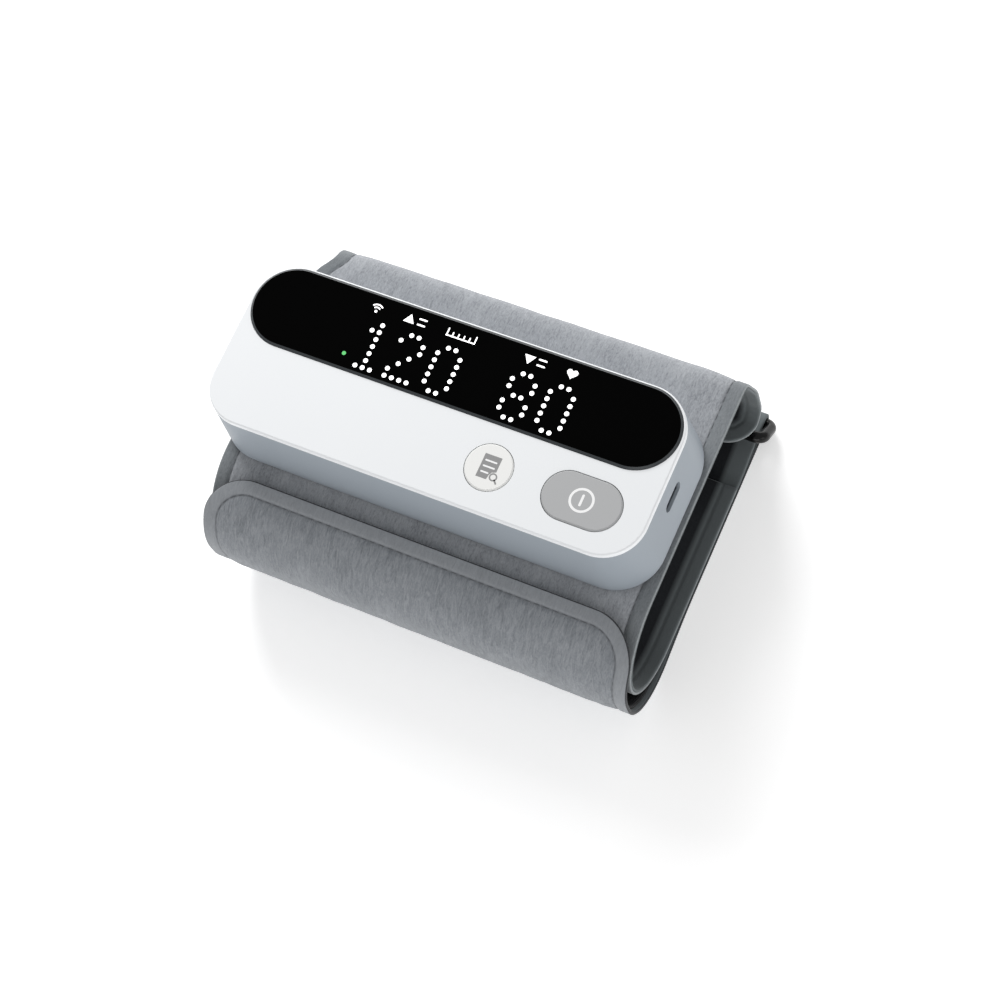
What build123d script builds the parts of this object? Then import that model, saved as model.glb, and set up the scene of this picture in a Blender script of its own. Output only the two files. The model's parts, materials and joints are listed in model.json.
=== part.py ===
# Upper arm blood pressure monitor on a closed, tubeless cuff.
# Millimetres. X runs along the monitor, Y from front to back, Z up.
# The origin is under the middle of the whole object, on the surface that it lies on.
from build123d import *
import math
import os

os.makedirs("parts", exist_ok=True)

# Whole object: the cuff's wrap at the front and the fold round the ring at the back are its ends.
HALF_DEPTH = 52.9

# Clearances
FIT_GAP = 0.15          # between fixed rigid pieces that seat in each other
THREAD_GAP = 0.05       # round a screw in the hole that it bites into
SLIDE_GAP = 0.2         # round each button in its hole
LAYER_GAP = 0.1         # between sewn layers of fabric
BEND_GAP = 0.1          # between the ring's bars and the fabric folded round them
WRAP_GAP = 0.3          # between the inner tube and the wrap under it

# Cuff fabric
STRAP_T = 1.2           # tail strap, outer fabric
HOOK_T = 1.0            # hook layer on the wrap's inner face
SHEET_T = 1.95          # cover and lining, each, where they are sewn together
POCKET_SKIN = 1.2       # cover or lining over the bladder
TUBE_WIDTH = 137.3
STRAP_WIDTH = 135.2
FLAP_OVERLAP = 1.3      # how far the flap stands out past each side of the strap
FLAP_CORNER_R = 14.0
BLADDER_MARGIN = 10.65  # from each end of the tube to the bladder

# The cuff is closed a little aslant: its tube and its wrap lie right of the monitor's middle.
TUBE_OFFSET = 3.45
WRAP_OFFSET = 4.5

# Inner tube of the cuff, seen from its open end, with places counted from its back or front
TUBE_HEIGHT = 44.0
CURL_GAP = 2.8          # between the round front and the wrap
CURL_FLAT = 0.1         # straight stretch between the two front arcs
BACK_FOOT_IN = 2.5
BACK_KNEE_IN = 3.3
BACK_KNEE_RISE = 27.5
BACK_TOP_IN = 8.4
BACK_FOOT_R = 6.5
BACK_KNEE_R = 25.0
BACK_TOP_R = 6.0
END_FLAP_IN = 16.3      # free edge of the inner end
LOWER_END_IN = 26.3     # where the thick lower run ends and the tail strap begins
BLADDER_BACK_IN = 16.9
BLADDER_LOW_IN = 36.9

# Ring that the tail strap folds back round
RING_ROD_R = 1.8
RING_SIDE_GAP = 0.3
RING_CORNER_R = 2.4
RING_TAB_T = 0.8
RING_TAB_WIDTH = 110.0
RING_TAB_LENGTH = 7.0
HEM_BAR_IN = 10.3
STRAP_RISE_IN = 22.9
STRAP_RISE_R = 3.0
STRAP_LEVEL_R = 15.0

# Wrap and closure flap round the front
HINGE_RISE = 2.0        # hinge line above the middle of the tube
FLAP_TIGHTER = 2.0      # how much smaller the flap's bend is than the tube's
FLAP_GAP = 6.0          # from the flap's free edge to the monitor's foot

# Monitor body
FACE_LENGTH = 136.0
FACE_DEPTH = 51.6
BODY_HEIGHT = 23.5
BODY_FLARE = 2.0        # how far the walls lean out at the foot
FOOT_SHIFT_X = 1.1      # how far the foot's middle lies right of the face's
FOOT_SHIFT_Y = -0.4     # and in front of it
FRONT_CORNER_R = 12.5
BACK_CORNER_R = 13.5
WALL = 1.8
FLOOR_T = 1.6
FACE_EDGE = 0.35        # flat bevel round the face
FOOT_EDGE_R = 1.6
FOOT_STRIPS = 3         # flat strips that the round of the foot is made of
COVER_EDGE_T = 1.8      # visible edge of the white cover
COVER_PLUG_T = 1.3      # part of the cover inside the walls
LIP_T = 1.0
LIP_DEPTH = 1.4

# Display
DISPLAY_MARGIN = 0.6    # cover that shows behind the display
DISPLAY_SIDE = 0.9      # and at each of its ends
BUTTON_STRIP = 25.8     # depth of the face in front of the display
LENS_POCKET = 1.0
LENS_T = 1.65
LENS_BEVEL = 0.6
WINDOW_RIM = 2.6        # width of the ledge that the lens is stuck to
WINDOW_SHIFT = 0.6
GUIDE_T = 1.6
BOARD_T = 1.15
BOARD_RIM = 0.5         # display board seats on this rim round the window
CHIP_SIZE = 0.9
CHIP_T = 0.5
DOT_PITCH_X = 2.35
DOT_MARGIN = 1.9        # from the dot field to the window's edge
DOT_ROWS = 7
DOT_LAYOUT = ".ooo.oooo.oooo......oooo.oooo"    # the columns, o where a digit has a dot
FIRST_DOT_X = -31.725
TAB_COUNT = 4
TAB_END = 4.5           # from the first and last tab to the ends of the straight edge
TAB_WIDTH = 6.0
TAB_REACH = 5.5
TAB_SCREW_R = 0.9
TAB_SCREW_HEAD_R = 1.7
TAB_SCREW_HEAD_T = 0.8
TAB_SCREW_BITE = 1.6

# Buttons, with their places from the face's front and right edges
BUTTON_FRONT_IN = 13.2
START_RIGHT_IN = 19.4
BUTTON_SPACING = 28.3
MEMORY_R = 7.0
START_CORE = 8.66
START_R = 7.35
BUTTON_PROUD = 0.3
BUTTON_EDGE = 0.4
FLANGE_REACH = 0.7
FLANGE_T = 1.0
FLANGE_GAP = 0.3
STEM_R = 2.2
STEM_LENGTH = 2.0       # below the flange
STEM_ROOT = 1.0         # from the stem's top to the face
PRESS_TRAVEL = 0.8

# Main board and what stands on it
MAIN_BOARD_T = 1.2
MAIN_LEFT_GAP = 3.0     # from the middle of the air tube
MAIN_RIGHT_IN = 13.0
MAIN_FRONT_IN = 1.8
MAIN_BACK_GAP = 3.0     # from the air junction
TONGUE_RIGHT_IN = 1.7
TONGUE_FRONT = -10.0
SWITCH_SIZE = 6.0
SWITCH_T = 3.3
SWITCH_FLOOR = 1.0
ACTUATOR_R = 1.7
ACTUATOR_GAP = 0.1
ACTUATOR_RISE = 1.3     # from the switch's top to the button's stem
STANDOFF_R = 2.6
STANDOFF_IN = 3.5
SMALL_SCREW_R = 1.0
SMALL_HEAD_R = 1.9
SMALL_HEAD_T = 1.2
SMALL_SCREW_BITE = 5.0
MAIN_CHIP = (9.0, 9.0, 1.1)
MAIN_CHIP_IN = 6.5
BUZZER_IN = (8.0, 9.5)
BUZZER_R = 4.2
BUZZER_T = 3.0
BUZZER_HOLE_R = 0.9
BUZZER_HOLE_DEPTH = 0.8

# Charging port in the right wall
PORT_WIDTH = 8.94
PORT_HEIGHT = 3.16
PORT_LENGTH = 7.3
PORT_SKIN = 0.32
PORT_RECESS = 0.6
PORT_BACK_T = 1.0
PORT_TONGUE_T = 0.7
PORT_TONGUE_IN = 0.8
PORT_TONGUE_WIDTH = 6.6
PORT_SLOT_GAP = 0.2

# Screws that close the housing from below, and hooks along its back
SCREW_SIDES = 12        # screws, their holes and bosses are twelve-sided rods
CASE_SIDE_IN = 6.4
CASE_FRONT_IN = 7.0
CASE_MIDDLE_IN = (4.5, 5.3)
CASE_BOSS_R = 2.4
CASE_SCREW_R = 1.0
CASE_HEAD_R = 1.9
CASE_HEAD_T = 1.3
CASE_TIP_GAP = 2.9      # from the screws' tips to the cover's inside
CASE_SPLIT_RISE = 9.4   # where lower and upper bosses meet, above the floor
HOOK_PLACES = (-40.0, 0.0, 40.0)
HOOK_WIDTH = 8.0
HOOK_DEPTH = 0.7
HOOK_HEIGHT = 0.9

# Plate on the cuff that carries the monitor, and the air port through it
DOCK_T = 2.4
DOCK_RIM = 1.2
DOCK_LEFT_IN = 6.0
DOCK_FRONT_IN = (12.0, 9.8)
DOCK_BACK_IN = (18.0, 6.3)
DOCK_RIGHT_IN = (8.0, 13.8)
DOCK_SCREW_R = 1.3
DOCK_BOSS_R = 2.4
DOCK_BOSS_HEIGHT = 3.4
DOCK_HEAD_R = 2.6
DOCK_HEAD_T = 1.4
DOCK_SCREW_BITE = 4.0
PORT_FLANGE_R = 5.0
PORT_FLANGE_T = 1.0
NIPPLE_R = 2.5
NIPPLE_BORE_R = 1.2
NIPPLE_HEIGHT = 6.8
SEAL_T = 1.3
SEAL_SOCKET_DEPTH = 2.6

# Air system
AIR_RISE = 5.4          # air line above the floor
MANIFOLD_RIGHT_IN = 38.0
MANIFOLD_BACK_IN = 11.8
MANIFOLD_LENGTH = 10.0
MANIFOLD_DEPTH = 9.0
TUBE_R = 2.0
TUBE_BORE_R = 1.3
TUBE_SIDES = 12
STUB_R = 1.2
STUB_BORE_R = 0.6
STUB_LENGTH = 3.2
STUB_ROOT = 1.0         # part of each stub inside its block
TUBE_BEND_R = 6.0
TUBE_TURN_X = -1.0
SENSOR_IN = 5.0         # from the main board's back edge
SENSOR_SIZE = (8.0, 7.0, 3.6)
SENSOR_TUBE_R = 1.7
VALVE_RIGHT_IN = 20.0
VALVE_SIZE = (14.0, 10.0, 10.6)
VALVE_WALL = 2.0
VALVE_STUB = 1.8
SPRING_ROOM = 1.0
PLUNGER_R = 2.0
PLUNGER_LENGTH = 7.0
PLUNGER_GAP = 0.08
VALVE_TRAVEL = 0.8

# Pump, as thick as the housing's inside allows
PUMP_FRONT_IN = 10.8
PUMP_HEADROOM = 0.3
MOTOR_LEFT_IN = 12.0
MOTOR_LENGTH = 19.0
MOTOR_EDGE = 0.6
CUSHION_T = 0.8
CUSHION_INSET = 3.0
PUMP_HEAD_LENGTH = 17.0
CRANK_CASE_LENGTH = 6.0
CRANK_CASE_WALL = 1.2
OUTLET_DEPTH = 4.0
SHAFT_R = 1.0
SHAFT_GAP = 0.06
SHAFT_SEAT = 5.0
SHAFT_NECK = 1.0
CRANK_GAP = 1.4
CRANK_THROW = 1.2
CRANK_T = 2.6
SADDLE_T = 1.6
SADDLE_HEIGHT = 5.0
SADDLE_REACH = 7.0

# Battery
BATTERY_SIZE = (49.0, 19.0, 9.2)
BATTERY_RIGHT_GAP = 4.0     # from the middle of the air tube
BATTERY_BACK_IN = 11.3
BATTERY_EDGE_R = 1.5
PAD_T = 0.5
PAD_INSET = 2.0
CRADLE_T = 1.2
CRADLE_HEIGHT = 4.0

# Levels that follow from the stack of pieces
WRAP_T = STRAP_T + HOOK_T
TUBE_FOOT = WRAP_T + WRAP_GAP
BASE_Z = TUBE_FOOT + TUBE_HEIGHT
FACE_Z = BASE_Z + BODY_HEIGHT
TUBE_T = 2 * SHEET_T + LAYER_GAP
BLADDER_T = TUBE_T - 2 * POCKET_SKIN - 2 * LAYER_GAP
RECESS_Z = BASE_Z + DOCK_T + LAYER_GAP
FLOOR_Z = RECESS_Z + FLOOR_T
SEAM_Z = FACE_Z - COVER_EDGE_T
PLUG_Z = SEAM_Z - COVER_PLUG_T
LIP_Z = PLUG_Z - LIP_DEPTH
LEDGE_Z = FACE_Z - LENS_POCKET
DISPLAY_BOARD_TOP = PLUG_Z - LAYER_GAP
FLANGE_Z = PLUG_Z - FLANGE_GAP
STEM_Z = FLANGE_Z - FLANGE_T - STEM_LENGTH
BOARD_TOP = STEM_Z - ACTUATOR_RISE - SWITCH_T
PORT_Z = BOARD_TOP + PORT_HEIGHT / 2
CASE_SPLIT_Z = FLOOR_Z + CASE_SPLIT_RISE
CASE_SCREW_LENGTH = PLUG_Z - CASE_TIP_GAP - RECESS_Z
AIR_Z = FLOOR_Z + AIR_RISE
SENSOR_Z = BOARD_TOP + SENSOR_SIZE[2] / 2
MOTOR_R = (PLUG_Z - PUMP_HEADROOM - FLOOR_Z) / 2 - CUSHION_T
MOTOR_Z = FLOOR_Z + CUSHION_T + MOTOR_R
CRANK_R = MOTOR_R - CRANK_CASE_WALL - CRANK_THROW - CRANK_GAP

# Middles and widths: the monitor's left foot and the ring's right end are equally far from the origin.
FLAP_WIDTH = STRAP_WIDTH + 2 * FLAP_OVERLAP
BLADDER_WIDTH = TUBE_WIDTH - 2 * BLADDER_MARGIN
RING_INNER_WIDTH = STRAP_WIDTH + 2 * RING_SIDE_GAP
RING_REACH = RING_INNER_WIDTH / 2 + 2 * RING_ROD_R
FOOT_LEFT = FACE_LENGTH / 2 + BODY_FLARE - FOOT_SHIFT_X
BODY_X = (FOOT_LEFT - WRAP_OFFSET - RING_REACH) / 2
TUBE_X = BODY_X + TUBE_OFFSET
WRAP_X = BODY_X + WRAP_OFFSET

# Cuff places from its front and back ends
CURL_Y = -HALF_DEPTH + WRAP_T + CURL_GAP + TUBE_HEIGHT / 2
HINGE_Z = TUBE_FOOT + TUBE_HEIGHT / 2 + HINGE_RISE
FLAP_INNER_R = TUBE_HEIGHT / 2 - FLAP_TIGHTER
FLAP_CENTRE_Y = -HALF_DEPTH + WRAP_T + FLAP_INNER_R
FLAP_EDGE_Y = -FACE_DEPTH / 2 - BODY_FLARE + FOOT_SHIFT_Y - FLAP_GAP
FLAP_ARC = math.degrees(math.acos((FLAP_CENTRE_Y - FLAP_EDGE_Y) / FLAP_INNER_R))
LOWER_END_Y = HALF_DEPTH - LOWER_END_IN
HEM_BAR_Y = HALF_DEPTH - HEM_BAR_IN

# Face and inner places from the edges of the face
DISPLAY_R = (FACE_DEPTH - DISPLAY_MARGIN - BUTTON_STRIP) / 2
DISPLAY_Y = FACE_DEPTH / 2 - DISPLAY_MARGIN - DISPLAY_R
DISPLAY_CORE = FACE_LENGTH - 2 * DISPLAY_SIDE - 2 * DISPLAY_R
WINDOW_R = DISPLAY_R - WINDOW_RIM
WINDOW_Y = DISPLAY_Y - WINDOW_SHIFT
DOT_PITCH_Y = 2 * (WINDOW_R - DOT_MARGIN) / DOT_ROWS
DOT_MIDDLE_Y = WINDOW_Y - DOT_PITCH_Y   # the digits stand one row in front of the window's middle
TAB_Y = WINDOW_Y - WINDOW_R - BOARD_RIM
TAB_SCREW_Y = TAB_Y - TAB_REACH / 4
BUTTON_Y = BUTTON_FRONT_IN - FACE_DEPTH / 2
START_X = FACE_LENGTH / 2 - START_RIGHT_IN
MEMORY_X = START_X - BUTTON_SPACING
MANIFOLD_X = FACE_LENGTH / 2 - MANIFOLD_RIGHT_IN
MANIFOLD_Y = FACE_DEPTH / 2 - MANIFOLD_BACK_IN
VALVE_X = FACE_LENGTH / 2 - VALVE_RIGHT_IN
PUMP_Y = PUMP_FRONT_IN - FACE_DEPTH / 2
MOTOR_LEFT = MOTOR_LEFT_IN - FACE_LENGTH / 2
MOTOR_RIGHT = MOTOR_LEFT + MOTOR_LENGTH
PUMP_RIGHT = MOTOR_RIGHT + PUMP_HEAD_LENGTH
BATTERY_X = TUBE_TURN_X - BATTERY_RIGHT_GAP - BATTERY_SIZE[0] / 2
BATTERY_Y = FACE_DEPTH / 2 - BATTERY_BACK_IN
MAIN_LEFT = TUBE_TURN_X + MAIN_LEFT_GAP
MAIN_RIGHT = FACE_LENGTH / 2 - MAIN_RIGHT_IN
MAIN_FRONT = MAIN_FRONT_IN - FACE_DEPTH / 2
MAIN_BACK = MANIFOLD_Y - MANIFOLD_DEPTH / 2 - MAIN_BACK_GAP
TONGUE_RIGHT = FACE_LENGTH / 2 - TONGUE_RIGHT_IN
SENSOR_Y = MAIN_BACK - SENSOR_IN
STANDOFF_PLACES = [
    (x, y)
    for x in (MAIN_LEFT + STANDOFF_IN, MAIN_RIGHT - STANDOFF_IN)
    for y in (MAIN_FRONT + STANDOFF_IN, MAIN_BACK - STANDOFF_IN)
]
CASE_SCREW_PLACES = (
    (CASE_SIDE_IN - FACE_LENGTH / 2, CASE_FRONT_IN - FACE_DEPTH / 2),
    (FACE_LENGTH / 2 - CASE_SIDE_IN, CASE_FRONT_IN - FACE_DEPTH / 2),
    (TUBE_TURN_X - CASE_MIDDLE_IN[0], CASE_MIDDLE_IN[1] - FACE_DEPTH / 2),
)
DOCK_SCREW_PLACES = (
    (DOCK_LEFT_IN - FACE_LENGTH / 2, 0.0),
    (MAIN_LEFT + DOCK_FRONT_IN[0], DOCK_FRONT_IN[1] - FACE_DEPTH / 2),
    (MANIFOLD_X - DOCK_BACK_IN[0], FACE_DEPTH / 2 - DOCK_BACK_IN[1]),
    (FACE_LENGTH / 2 - DOCK_RIGHT_IN[0], FACE_DEPTH / 2 - DOCK_RIGHT_IN[1]),
)

# Ring: the wrap bar lies in the fold, the hem bar above it in the tab.
FOLD_R = RING_ROD_R + BEND_GAP
WRAP_BAR_Y = HALF_DEPTH - STRAP_T - FOLD_R
WRAP_BAR_Z = STRAP_T + FOLD_R
STRAP_OVER_Z = WRAP_BAR_Z + FOLD_R
HEM_BAR_Z = STRAP_OVER_Z + STRAP_T + RING_TAB_T + 3 * BEND_GAP + RING_ROD_R
END_FLAP_Z = HEM_BAR_Z + RING_ROD_R + BEND_GAP + RING_TAB_T + BEND_GAP


def cylinder(x, y, z_low, radius, height):
    """Upright cylinder standing on z_low, placed in body coordinates."""
    return Pos(x + BODY_X, y, z_low + height / 2) * Cylinder(radius, height)


def rod_x(x_low, y, z, radius, length):
    """Cylinder lying along X, placed in body coordinates."""
    return Pos(x_low + length / 2 + BODY_X, y, z) * Rot(0, 90, 0) * Cylinder(radius, length)


def rod_y(x, y_low, z, radius, length):
    """Cylinder lying along Y, placed in body coordinates."""
    return Pos(x + BODY_X, y_low + length / 2, z) * Rot(90, 0, 0) * Cylinder(radius, length)


def rod(x, y, z_low, radius, height):
    """Upright twelve-sided rod for a screw, its hole or its boss, placed in body coordinates."""
    outline = RegularPolygon(radius, SCREW_SIDES)
    return Pos(x + BODY_X, y, z_low) * extrude(outline, amount=height)


def block(x, y, z_low, size):
    """Box with its foot at z_low, placed in body coordinates."""
    return Pos(x + BODY_X, y, z_low + size[2] / 2) * Box(*size)


def stadium(x, y, core, radius, z_low, height):
    """Upright stadium prism, long along X, placed in body coordinates."""
    outline = SlotCenterToCenter(core, 2 * radius)
    return Pos(x + BODY_X, y, z_low) * extrude(outline, amount=height)


def body_outline(z, inset):
    """Rounded outline of the leaning walls at height z, moved in by inset."""
    lean = (FACE_Z - z) / BODY_HEIGHT
    grow = BODY_FLARE * lean - inset
    half_x = FACE_LENGTH / 2 + grow
    half_y = FACE_DEPTH / 2 + grow
    corners = [(-half_x, -half_y), (half_x, -half_y), (half_x, half_y), (-half_x, half_y)]
    front_r = FRONT_CORNER_R + grow
    back_r = BACK_CORNER_R + grow
    edge = FilletPolyline(*corners, radius=[front_r, front_r, back_r, back_r], close=True)
    return Pos(BODY_X + FOOT_SHIFT_X * lean, FOOT_SHIFT_Y * lean, z) * make_face(edge)


def body_slab(z_low, z_high, inset=0.0):
    """Slice of the leaning body between two heights."""
    return loft([body_outline(z_low, inset), body_outline(z_high, inset)], ruled=True)


def rounded_body():
    """Leaning body from its rounded foot up to the seam."""
    outlines = []
    for strip in range(FOOT_STRIPS + 1):
        turn = math.radians(90 * strip / FOOT_STRIPS)
        rise = FOOT_EDGE_R * (1 - math.cos(turn))
        outlines.append(body_outline(BASE_Z + rise, FOOT_EDGE_R * (1 - math.sin(turn))))
    return loft(outlines + [body_outline(SEAM_Z, 0)], ruled=True)


def shifted(points, depth):
    """Corners of a path of straight runs, moved to its left by depth."""
    headings = []
    for (y0, z0), (y1, z1) in zip(points, points[1:]):
        length = math.hypot(y1 - y0, z1 - z0)
        headings.append(((y1 - y0) / length, (z1 - z0) / length))
    normals = [(-dz, dy) for dy, dz in headings]
    moved = [(points[0][0] + depth * normals[0][0], points[0][1] + depth * normals[0][1])]
    turns = []
    for index in range(1, len(points) - 1):
        a, b = normals[index - 1], normals[index]
        share = depth / (1 + a[0] * b[0] + a[1] * b[1])
        moved.append((points[index][0] + share * (a[0] + b[0]), points[index][1] + share * (a[1] + b[1])))
        turns.append(1 if a[0] * b[1] - a[1] * b[0] > 0 else -1)
    last = normals[-1]
    moved.append((points[-1][0] + depth * last[0], points[-1][1] + depth * last[1]))
    return moved, turns


def layer(points, radii, near, far, width, middle):
    """Band of fabric between two depths left of a path in the YZ plane, width long about middle in X."""
    sides = []
    for depth in (near, far):
        moved, turns = shifted(points, depth)
        bends = [radius - turn * depth for radius, turn in zip(radii, turns)]
        sides.append((moved, FilletPolyline(*moved, radius=bends)))
    (first, low), (second, high) = sides
    edges = low.edges() + high.edges()
    edges += [Line(first[0], second[0]).edge(), Line(first[-1], second[-1]).edge()]
    return Pos(middle, 0, 0) * extrude(Plane.YZ * make_face(edges), amount=width / 2, both=True)


def tube_path():
    """Outer face of the inner tube, from its free end round to the tail strap."""
    front = CURL_Y - TUBE_HEIGHT / 2
    points = [
        (HALF_DEPTH - END_FLAP_IN, END_FLAP_Z),
        (HALF_DEPTH - BACK_FOOT_IN, END_FLAP_Z),
        (HALF_DEPTH - BACK_KNEE_IN, TUBE_FOOT + BACK_KNEE_RISE),
        (HALF_DEPTH - BACK_TOP_IN, BASE_Z),
        (front, BASE_Z),
        (front, TUBE_FOOT),
        (LOWER_END_Y, TUBE_FOOT),
    ]
    curl_r = (TUBE_HEIGHT - CURL_FLAT) / 2
    return points, [BACK_FOOT_R, BACK_KNEE_R, BACK_TOP_R, curl_r, curl_r]


def bladder_path():
    """Part of the tube's outer face that the bladder lies behind."""
    front = CURL_Y - TUBE_HEIGHT / 2
    points = [
        (HALF_DEPTH - BLADDER_BACK_IN, BASE_Z),
        (front, BASE_Z),
        (front, TUBE_FOOT),
        (HALF_DEPTH - BLADDER_LOW_IN, TUBE_FOOT),
    ]
    curl_r = (TUBE_HEIGHT - CURL_FLAT) / 2
    return points, [curl_r, curl_r]


def bladder_pocket():
    points, radii = bladder_path()
    return layer(points, radii, POCKET_SKIN, TUBE_T - POCKET_SKIN, BLADDER_WIDTH + 2 * FIT_GAP, TUBE_X)


def cuff_cover():
    """Outer fabric of the tube, open where the air port comes up."""
    points, radii = tube_path()
    sheet = layer(points, radii, 0, SHEET_T, TUBE_WIDTH, TUBE_X) - bladder_pocket()
    return sheet - cylinder(MANIFOLD_X, MANIFOLD_Y, BASE_Z - SHEET_T, PORT_FLANGE_R + FIT_GAP, 2 * SHEET_T)


def cuff_lining():
    points, radii = tube_path()
    return layer(points, radii, SHEET_T + LAYER_GAP, TUBE_T, TUBE_WIDTH, TUBE_X) - bladder_pocket()


def bladder():
    """Flat air bag in the pocket, with the hole that its port feeds."""
    points, radii = bladder_path()
    near = POCKET_SKIN + LAYER_GAP
    bag = layer(points, radii, near, near + BLADDER_T, BLADDER_WIDTH, TUBE_X)
    port = cylinder(MANIFOLD_X, MANIFOLD_Y, BASE_Z - near - BLADDER_T / 2, NIPPLE_BORE_R, BLADDER_T)
    return bag - port


def strap_path():
    """Inner face of the tail strap: over the ring's bar, round it and back under the tube."""
    front_r = HINGE_Z - STRAP_T
    front = -HALF_DEPTH + STRAP_T
    fold_back = WRAP_BAR_Y + FOLD_R
    points = [
        (LOWER_END_Y + LAYER_GAP, TUBE_FOOT),
        (HALF_DEPTH - STRAP_RISE_IN, TUBE_FOOT),
        (HEM_BAR_Y, STRAP_OVER_Z),
        (fold_back, STRAP_OVER_Z),
        (fold_back, STRAP_T),
        (front, STRAP_T),
        (front, HINGE_Z + CURL_FLAT),
    ]
    fold_r = FOLD_R - BEND_GAP / 2
    return points, [STRAP_RISE_R, STRAP_LEVEL_R, fold_r, fold_r, front_r]


def tail_strap():
    points, radii = strap_path()
    return layer(points, radii, 0, STRAP_T, STRAP_WIDTH, WRAP_X)


def wrap_path(start_y):
    """Inner face of the wrap's strap, from under the tube up to the hinge line."""
    front = -HALF_DEPTH + STRAP_T
    return [(start_y, STRAP_T), (front, STRAP_T), (front, HINGE_Z + CURL_FLAT)], [HINGE_Z - STRAP_T]


def hook_panel():
    """Hook layer on the wrap's inner face, from the ring to the hinge line."""
    points, radii = wrap_path(WRAP_BAR_Y - RING_ROD_R - 2 * HOOK_T)
    return layer(points, radii, -HOOK_T, 0, STRAP_WIDTH, WRAP_X)


def flap_section(inner_r, outer_r):
    """Arc band from the hinge line over the front of the tube."""
    start = 180.0
    inner = CenterArc((0, 0), inner_r, start, -FLAP_ARC)
    outer = CenterArc((0, 0), outer_r, start, -FLAP_ARC)
    ends = [Line(inner @ 0, outer @ 0), Line(inner @ 1, outer @ 1)]
    face = make_face([inner.edge(), outer.edge(), ends[0].edge(), ends[1].edge()])
    hinge = HINGE_Z + CURL_FLAT + LAYER_GAP
    return Plane.YZ * Pos(FLAP_CENTRE_Y, hinge) * face


def flap_band(inner_r, outer_r):
    """Flap layer with its two free corners rounded."""
    band = extrude(flap_section(inner_r, outer_r), amount=FLAP_WIDTH / 2, both=True)
    reach = FLAP_INNER_R + WRAP_T
    tilt = FLAP_ARC / 2
    # The corners are cut square to the middle of the arc.
    low = reach * math.sin(math.radians(tilt))
    outline = Rectangle(FLAP_WIDTH, 4 * low)
    outline = fillet(outline.vertices(), FLAP_CORNER_R)
    cutter = extrude(outline, amount=3 * reach)
    cutter = Pos(0, 0, -reach) * cutter
    seat = Pos(0, FLAP_CENTRE_Y, HINGE_Z) * Rot(90 - tilt, 0, 0) * Pos(0, -low, 0)
    return Pos(WRAP_X, 0, 0) * (band & (seat * cutter))


def closure_flap():
    return flap_band(FLAP_INNER_R + HOOK_T, FLAP_INNER_R + WRAP_T)


def flap_hook():
    return flap_band(FLAP_INNER_R, FLAP_INNER_R + HOOK_T)


def ring():
    """Closed wire ring of two long bars, lying aslant behind the cuff."""
    run = WRAP_BAR_Y - HEM_BAR_Y
    rise = WRAP_BAR_Z - HEM_BAR_Z
    depth = math.hypot(run, rise)
    middle = ((WRAP_BAR_Y + HEM_BAR_Y) / 2, (WRAP_BAR_Z + HEM_BAR_Z) / 2)
    plane = Plane(origin=(WRAP_X, *middle), x_dir=(1, 0, 0), z_dir=(0, -rise / depth, run / depth))
    width = RING_INNER_WIDTH + 2 * RING_ROD_R
    path = plane * RectangleRounded(width, depth, RING_CORNER_R)
    wire = path.wires()[0]
    section = (wire ^ 0) * Circle(RING_ROD_R)
    return sweep(section, path=wire)


def ring_tab():
    """Loop of webbing round the ring's hem bar, sewn under the inner end."""
    low = HEM_BAR_Z - FOLD_R
    high = HEM_BAR_Z + FOLD_R
    back = HEM_BAR_Y + FOLD_R
    start = HEM_BAR_Y - RING_TAB_LENGTH
    close = high - RING_TAB_T - LAYER_GAP
    bend = FOLD_R - BEND_GAP / 2
    points = [(start, high), (back, high), (back, low), (HEM_BAR_Y - FOLD_R, low), (start, close)]
    return layer(points, [bend, bend, RING_TAB_T / 2], 0, RING_TAB_T, RING_TAB_WIDTH, WRAP_X)


def screw(x, y, head_z, head_r, head_t, radius, length):
    """Pan head screw pointing up, its head's foot at head_z."""
    return rod(x, y, head_z, head_r, head_t) + rod(x, y, head_z, radius, head_t + length)


def base_housing():
    """Lower shell: leaning walls, raised floor, bosses, saddle, cradle and the port's slot."""
    shell = rounded_body()
    shell -= body_slab(FLOOR_Z, FACE_Z, WALL)
    shell -= body_slab(BASE_Z - FLOOR_T, RECESS_Z, WALL + DOCK_RIM)
    for x, y in CASE_SCREW_PLACES:
        shell += rod(x, y, RECESS_Z, CASE_BOSS_R, CASE_SPLIT_Z - RECESS_Z)
        shell -= rod(x, y, RECESS_Z - FLOOR_T, CASE_HEAD_R + FIT_GAP, FLOOR_T + CASE_HEAD_T + FIT_GAP)
        shell -= rod(x, y, RECESS_Z, CASE_SCREW_R + FIT_GAP, CASE_SPLIT_Z)
    for x, y in STANDOFF_PLACES:
        height = BOARD_TOP - MAIN_BOARD_T - FLOOR_Z
        shell += rod(x, y, FLOOR_Z, STANDOFF_R, height)
        bite = SMALL_SCREW_BITE - MAIN_BOARD_T + FIT_GAP
        shell -= rod(x, y, FLOOR_Z + height - bite, SMALL_SCREW_R + THREAD_GAP, 2 * bite)
    for x, y in DOCK_SCREW_PLACES:
        shell += rod(x, y, FLOOR_Z, DOCK_BOSS_R, DOCK_BOSS_HEIGHT)
        shell -= rod(x, y, RECESS_Z - FLOOR_T, DOCK_SCREW_R + THREAD_GAP, FLOOR_T + DOCK_SCREW_BITE + FIT_GAP)
    shell += pump_saddle()
    shell += battery_cradle()
    shell -= cylinder(MANIFOLD_X, MANIFOLD_Y, RECESS_Z - FLOOR_T, NIPPLE_R + FIT_GAP, 3 * FLOOR_T)
    for x in HOOK_PLACES:
        shell -= snap_hook(x, FIT_GAP)
    return shell - port_slot()


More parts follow.
